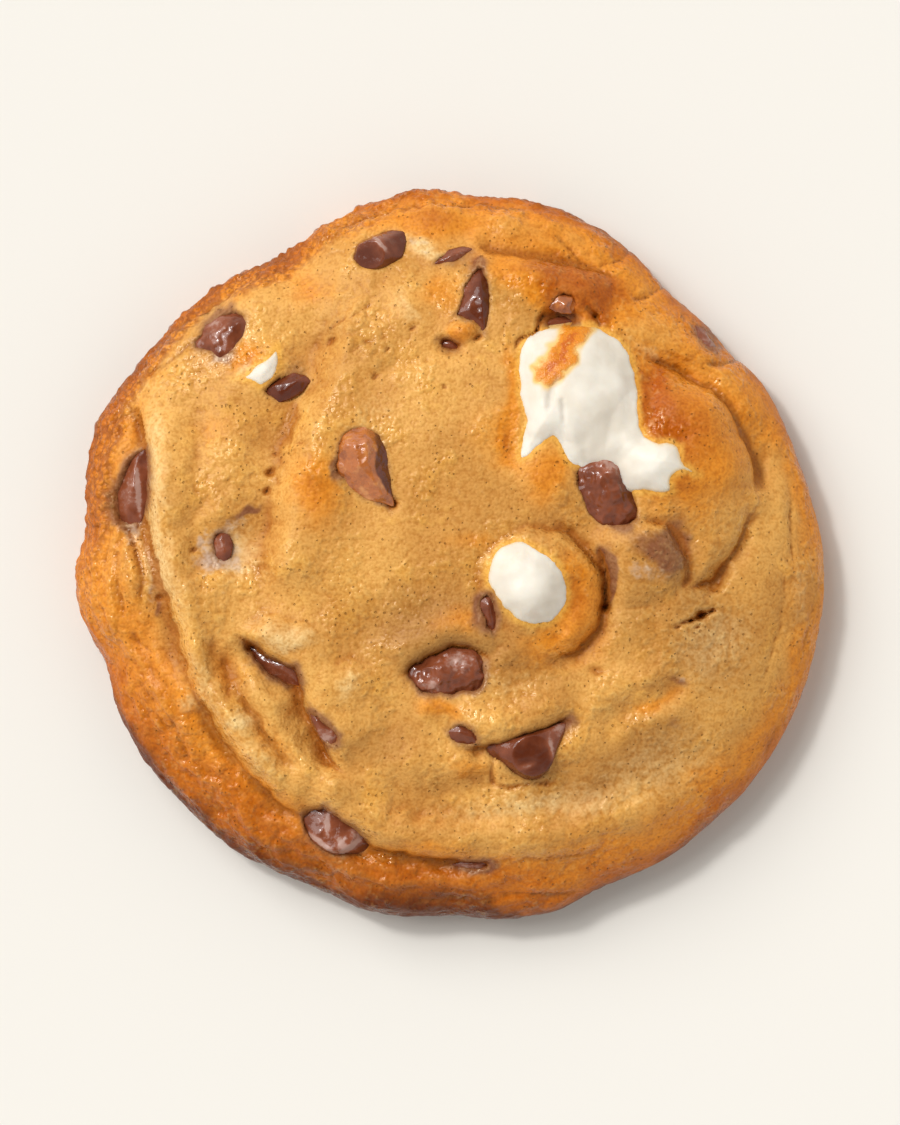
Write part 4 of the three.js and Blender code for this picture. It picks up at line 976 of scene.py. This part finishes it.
colour = chocolate.blend(chocolate.ramp(cloud + bloom_and_highlight * 0.5, 0.2, 0.8), (92, 39, 17), (142, 77, 49))
pale_bloom_and_highlight = chocolate.ramp(bloom_and_highlight * 0.7 + (cloud - 0.5) * 0.7 + (speck - 0.5) * 0.9, 0.2, 0.6)
# Pale bloom, and pale streaks painted as highlights.
colour = chocolate.blend(pale_bloom_and_highlight * 0.7, colour, (186, 152, 138))
chocolate_material = chocolate.connect(
    Base_Color=colour, Roughness=0.14 + pale_bloom_and_highlight * 0.3 + (speck - 0.5) * 0.1,
    Normal=chocolate.bump(speck * 0.2 + cloud, 0.3, 0.7),
)


def dress(shapes, prefix, material):
    """Every piece of a group, shaped, with its bloom and painted highlight streaks, its material and what it
    stands for.
    """
    for seed, (node, (edge_rise, corners)) in enumerate(shapes.items()):
        piece = add_chunk(OPENINGS[node][1], edge_rise, corners, FACES.get(node))
        piece.name = prefix + node
        finish_shape(piece, KNOBBLY.get(node, SMOOTH_SKIN), 40 + 3 * seed)
        px, py, _ = read_places(piece) / MM
        write_mask(piece, "bloom_and_highlight", 1 + patches(BLOOM_AND_HIGHLIGHTS, px, py, sharpness=1))
        piece.data.materials.append(material)
        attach(piece, "root")
        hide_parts(node)


dress(CHUNKS, "melted_", chocolate_material)

# ---- The caramelised pieces -------------------------------------------------------------------
# Chocolate that stood proud in the oven, under a film of dough whose sugar turned to caramel:
# red-brown and wet-looking, orange where the film is thick, with pale streaks painted as highlights.
caramel = Finish("caramel_glaze", IOR=1.5, Coat_Roughness=0.08)
film = caramel.mask("film")
drip = caramel.mottle(1.6, 3)
fleck = caramel.mottle(0.6, 2)
glazed = caramel.ramp(film + (drip - 0.5) * 1.4, 0.25, 0.8)
streaks_and_highlights = drip + (fleck - 0.5) * 0.4
colour = caramel.blend(glazed, (98, 42, 20), (182, 102, 44))
# Pale streaks painted as highlights on the orange glaze.
colour = caramel.layer(colour, streaks_and_highlights, 0.52, 0.72, glazed * 0.8, (222, 150, 84))
colour = caramel.layer(colour, streaks_and_highlights, 0.48, 0.32, 0.6, (122, 56, 20))
caramel_material = caramel.connect(
    Base_Color=colour, Roughness=0.2 + (drip - 0.5) * 0.2, Coat_Weight=0.5 + film * 0.5,
    Normal=caramel.bump(drip + fleck * 0.2, 0.7, 0.8),
)
dress(CARAMELISED, "glazed_", caramel_material)
GLAZE_RIDGE = [(-11, 18.5), (-10.6, 15.5), (-10.8, 12.5), (-9.6, 9.5), (-7.8, 7.6)]  # orange left of it
for piece in bpy.context.scene.objects:
    if piece.name.startswith("glazed_"):
        px, py, _ = read_places(piece) / MM
        distance, side, _ = measure_from(GLAZE_RIDGE, px, py)
        write_mask(piece, "film", ease(-0.5, 0.5, -side * distance) * (px < 0) + 0.6 * (px > 0))

# ---- The marshmallows -------------------------------------------------------------------------
# Soft white marshmallow that swelled and burst through the dough, and thins out over it to a
# ragged edge. It is toasted orange and gritty where it stood highest in the oven, with pale
# specks painted on the toast as glints.
PATCH_STEP = 0.25
PATCH_REACH = 0.9  # how far the sheet that each is shaped from goes past its outline
PATCH_DEPTH = 4  # how far it reaches down, most of it hidden in the dough
SCORCHED = [
    (20.8, 33.5), (19.8, 31), (18.5, 29.5), (18.4, 27.4), (16.4, 25.9), (15, 24.3), (13.5, 24), (12.4, 25),
    (12.2, 26.9), (13.8, 28.4), (14.6, 30), (15.6, 31.4), (16.6, 33.2),
]
# Dents pressed into the larger one, greyed with painted shade: width and path.
DENTS = ((0.5, [(15.5, 25.2), (14.6, 23.4), (14.2, 21)]), (0.35, [(16.2, 22), (16.4, 19)]))
marshmallow = Finish("marshmallow_skin", IOR=1.4, Subsurface_Weight=0.3, Subsurface_Scale=0.0015)
marshmallow.shader.inputs["Subsurface Radius"].default_value = (1.0, 0.8, 0.6)
puff = marshmallow.mottle(3.2, 3)
grit = marshmallow.mottle(0.6, 3, 0.65)
scorch_mask = marshmallow.mask("scorch")
charred = scorch_mask + (grit - 0.5) * 1.6
scorch = marshmallow.ramp(scorch_mask + (grit - 0.5) * 0.5 + (puff - 0.5) * 0.5, 0.4, 0.75)
colour = marshmallow.layer((226, 216, 199), puff, 0.35, 0.7, 1, (238, 231, 217))
colour = marshmallow.layer(colour, scorch_mask, 0.1, 0.5, 1, (238, 196, 120))
colour = marshmallow.blend(scorch, colour, (226, 140, 36))
colour = marshmallow.layer(colour, charred, 0.95, 1.4, 0.8, (196, 92, 12))
# Painted glints: pale specks on the grit of the toasted parts.
colour = marshmallow.layer(colour, grit, 0.6, 0.75, scorch * 0.6, (250, 206, 120))
# Painted shade: grey in the dents.
colour = marshmallow.blend(marshmallow.mask("dent") * 0.5, colour, (176, 164, 150))
marshmallow_material = marshmallow.connect(
    Base_Color=colour, Roughness=0.5 - scorch * 0.2,
    Normal=marshmallow.bump(puff + scorch * grit * 1.8, 0.3, 0.6),
)


def rounded(corners):
    """An outline with its corners cut twice."""
    for _ in range(2):
        cut = []
        for (ax, ay), (bx, by) in zip(corners, corners[1:] + corners[:1]):
            cut.append((0.75 * ax + 0.25 * bx, 0.75 * ay + 0.25 * by))
            cut.append((0.25 * ax + 0.75 * bx, 0.25 * ay + 0.75 * by))
        corners = cut
    return corners


def spread_over(low, high, u, v):
    """Places of a sheet one unit wide, spread over the rectangle from low to high."""
    middle, width = (low + high) / 2, high - low
    return middle[0] + u * width[0], middle[1] + v * width[1]


for node, outline in MARSHMALLOWS.items():
    outline = rounded(outline)
    low, high = np.min(outline, axis=0) - 1, np.max(outline, axis=0) + 1  # 1 mm larger all round
    steps = np.ceil((high - low) / PATCH_STEP).astype(int)
    bpy.ops.object.select_all(action="DESELECT")
    bpy.ops.mesh.primitive_grid_add(x_subdivisions=int(steps[0]), y_subdivisions=int(steps[1]), size=1)
    piece = bpy.context.object
    piece.name = "puffed_" + node
    u, v, _ = read_places(piece)
    inward = inside_outline(outline, *spread_over(low, high, u, v))
    bpy.ops.object.mode_set(mode="EDIT")
    bpy.ops.mesh.select_all(action="DESELECT")
    bpy.ops.object.mode_set(mode="OBJECT")
    piece.data.vertices.foreach_set("select", inward < -PATCH_REACH)
    bpy.ops.object.mode_set(mode="EDIT")
    bpy.ops.mesh.delete(type="VERT")
    draw_down(1)
    u, v, level = read_places(piece)
    px, py = spread_over(low, high, u, v)
    bare = bare_height(px, py)
    inward = inside_outline(outline, px, py)
    inward += 0.2 * lumps(px, py, bare, 1.7, 21) + 0.08 * lumps(px, py, bare, 0.7, 22)
    baked, _ = baked_surface(px, py, bare, 1 - 0.9 * ease(0, 1.5, inward))
    bulge = 0.3 * lumps(px, py, bare, 5, 61) + 0.03 * lumps(px, py, bare, 1.4, 62)
    thickness = -0.8 + 0.9 * ease(-0.6, 0.4, inward) + 0.7 * ease(0, 3, inward)
    dents = np.zeros(px.shape)
    for width, path in DENTS:
        dents = np.maximum(dents, np.exp(-(measure_from(path, px, py)[0] / width) ** 2))
    puffed = bare + baked + bulge * ease(0, 2, inward) + thickness - 0.25 * dents
    pz = np.where(level < -0.5, bare - PATCH_DEPTH, puffed)
    write_places(piece, px * MM, py * MM, pz * MM)
    scorched = inside_outline(SCORCHED, px, py) + 0.5 * lumps(px, py, bare, 1.3, 71)
    golden = 0.5 + 0.5 * ease(24, 31, px) + 0.3 * ease(13, 9, px)
    edge_toast = 0.5 * np.exp(-np.maximum(inward, 0) / 0.6) * golden
    edge_toast = np.maximum(edge_toast, 0.45 * ease(32, 32.8, py))
    write_mask(piece, "scorch", np.maximum(0.5 + 0.45 * scorched, edge_toast))
    write_mask(piece, "dent", dents * (0.6 + 0.4 * lumps(px, py, bare, 0.8, 72)))
    piece.data.materials.append(marshmallow_material)
    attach(piece, "root")
    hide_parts(node)

# ---- The table, the light and the camera --------------------------------------------------------
# A plain pale table, a large soft light from the upper left, and a camera straight above.
TABLE_SIZE = 3.0
TABLE_DROP = 0.0001  # just clear of the cookie's underside
bpy.ops.object.select_all(action="DESELECT")
bpy.ops.mesh.primitive_plane_add(size=TABLE_SIZE, location=(0, 0, -TABLE_DROP))
table = bpy.context.object
table.name = "table"
plain = Finish("pale_table")
tone = plain.mottle(400, 1)
table.data.materials.append(plain.connect(Base_Color=plain.blend(tone, (236, 232, 224), (237, 233, 225))))
plain.shader.inputs["Roughness"].default_value = 0.9
plain.shader.inputs["Specular IOR Level"].default_value = 0.1


def add_light(name, azimuth, elevation, spread, strength):
    """A soft light so far away that it falls evenly: angles in degrees."""
    turn = (0, math.radians(90 - elevation), math.radians(azimuth))
    bpy.ops.object.light_add(type="SUN", location=(0, 0, 0.5), rotation=turn)
    light = bpy.context.object
    light.name = name
    light.data.angle = math.radians(spread)
    light.data.energy = strength


add_light("soft_key", 140, 46, 48, 1.75)
add_light("bright_key", 138, 53, 8, 1.0)
world = bpy.data.worlds.new("studio")
bpy.context.scene.world = world
world.use_nodes = True
sky = world.node_tree.nodes
background = sky["Background"]
background.inputs["Color"].default_value = (1.0, 0.99, 0.97, 1)
around = sky.new("ShaderNodeTexCoord")
height_up = sky.new("ShaderNodeSeparateXYZ")
dimmer = sky.new("ShaderNodeMapRange")  # the ceiling above the camera is dark
for name, value in {"From Min": 0.7, "From Max": 0.95, "To Min": 0.66, "To Max": 0.1}.items():
    dimmer.inputs[name].default_value = value
world.node_tree.links.new(around.outputs["Generated"], height_up.inputs[0])
world.node_tree.links.new(height_up.outputs["Z"], dimmer.inputs["Value"])
world.node_tree.links.new(dimmer.outputs[0], background.inputs["Strength"])
bpy.context.scene.view_settings.view_transform = "Standard"

FRAME_HEIGHT = 0.165  # of what the picture takes in, at the height of the cookie's widest line
CAMERA_HEIGHT = 1.2
CAMERA_Y = -0.0014  # the cookie lies a little above the middle of the picture
SENSOR = 36.0
bpy.ops.object.camera_add(location=(0, CAMERA_Y, CAMERA_HEIGHT), rotation=(0, 0, 0))
camera = bpy.context.object
camera.data.sensor_width = SENSOR
camera.data.lens = SENSOR * (CAMERA_HEIGHT - WIDEST_HEIGHT * MM) / FRAME_HEIGHT
camera.data.clip_end = 10
bpy.context.scene.camera = camera
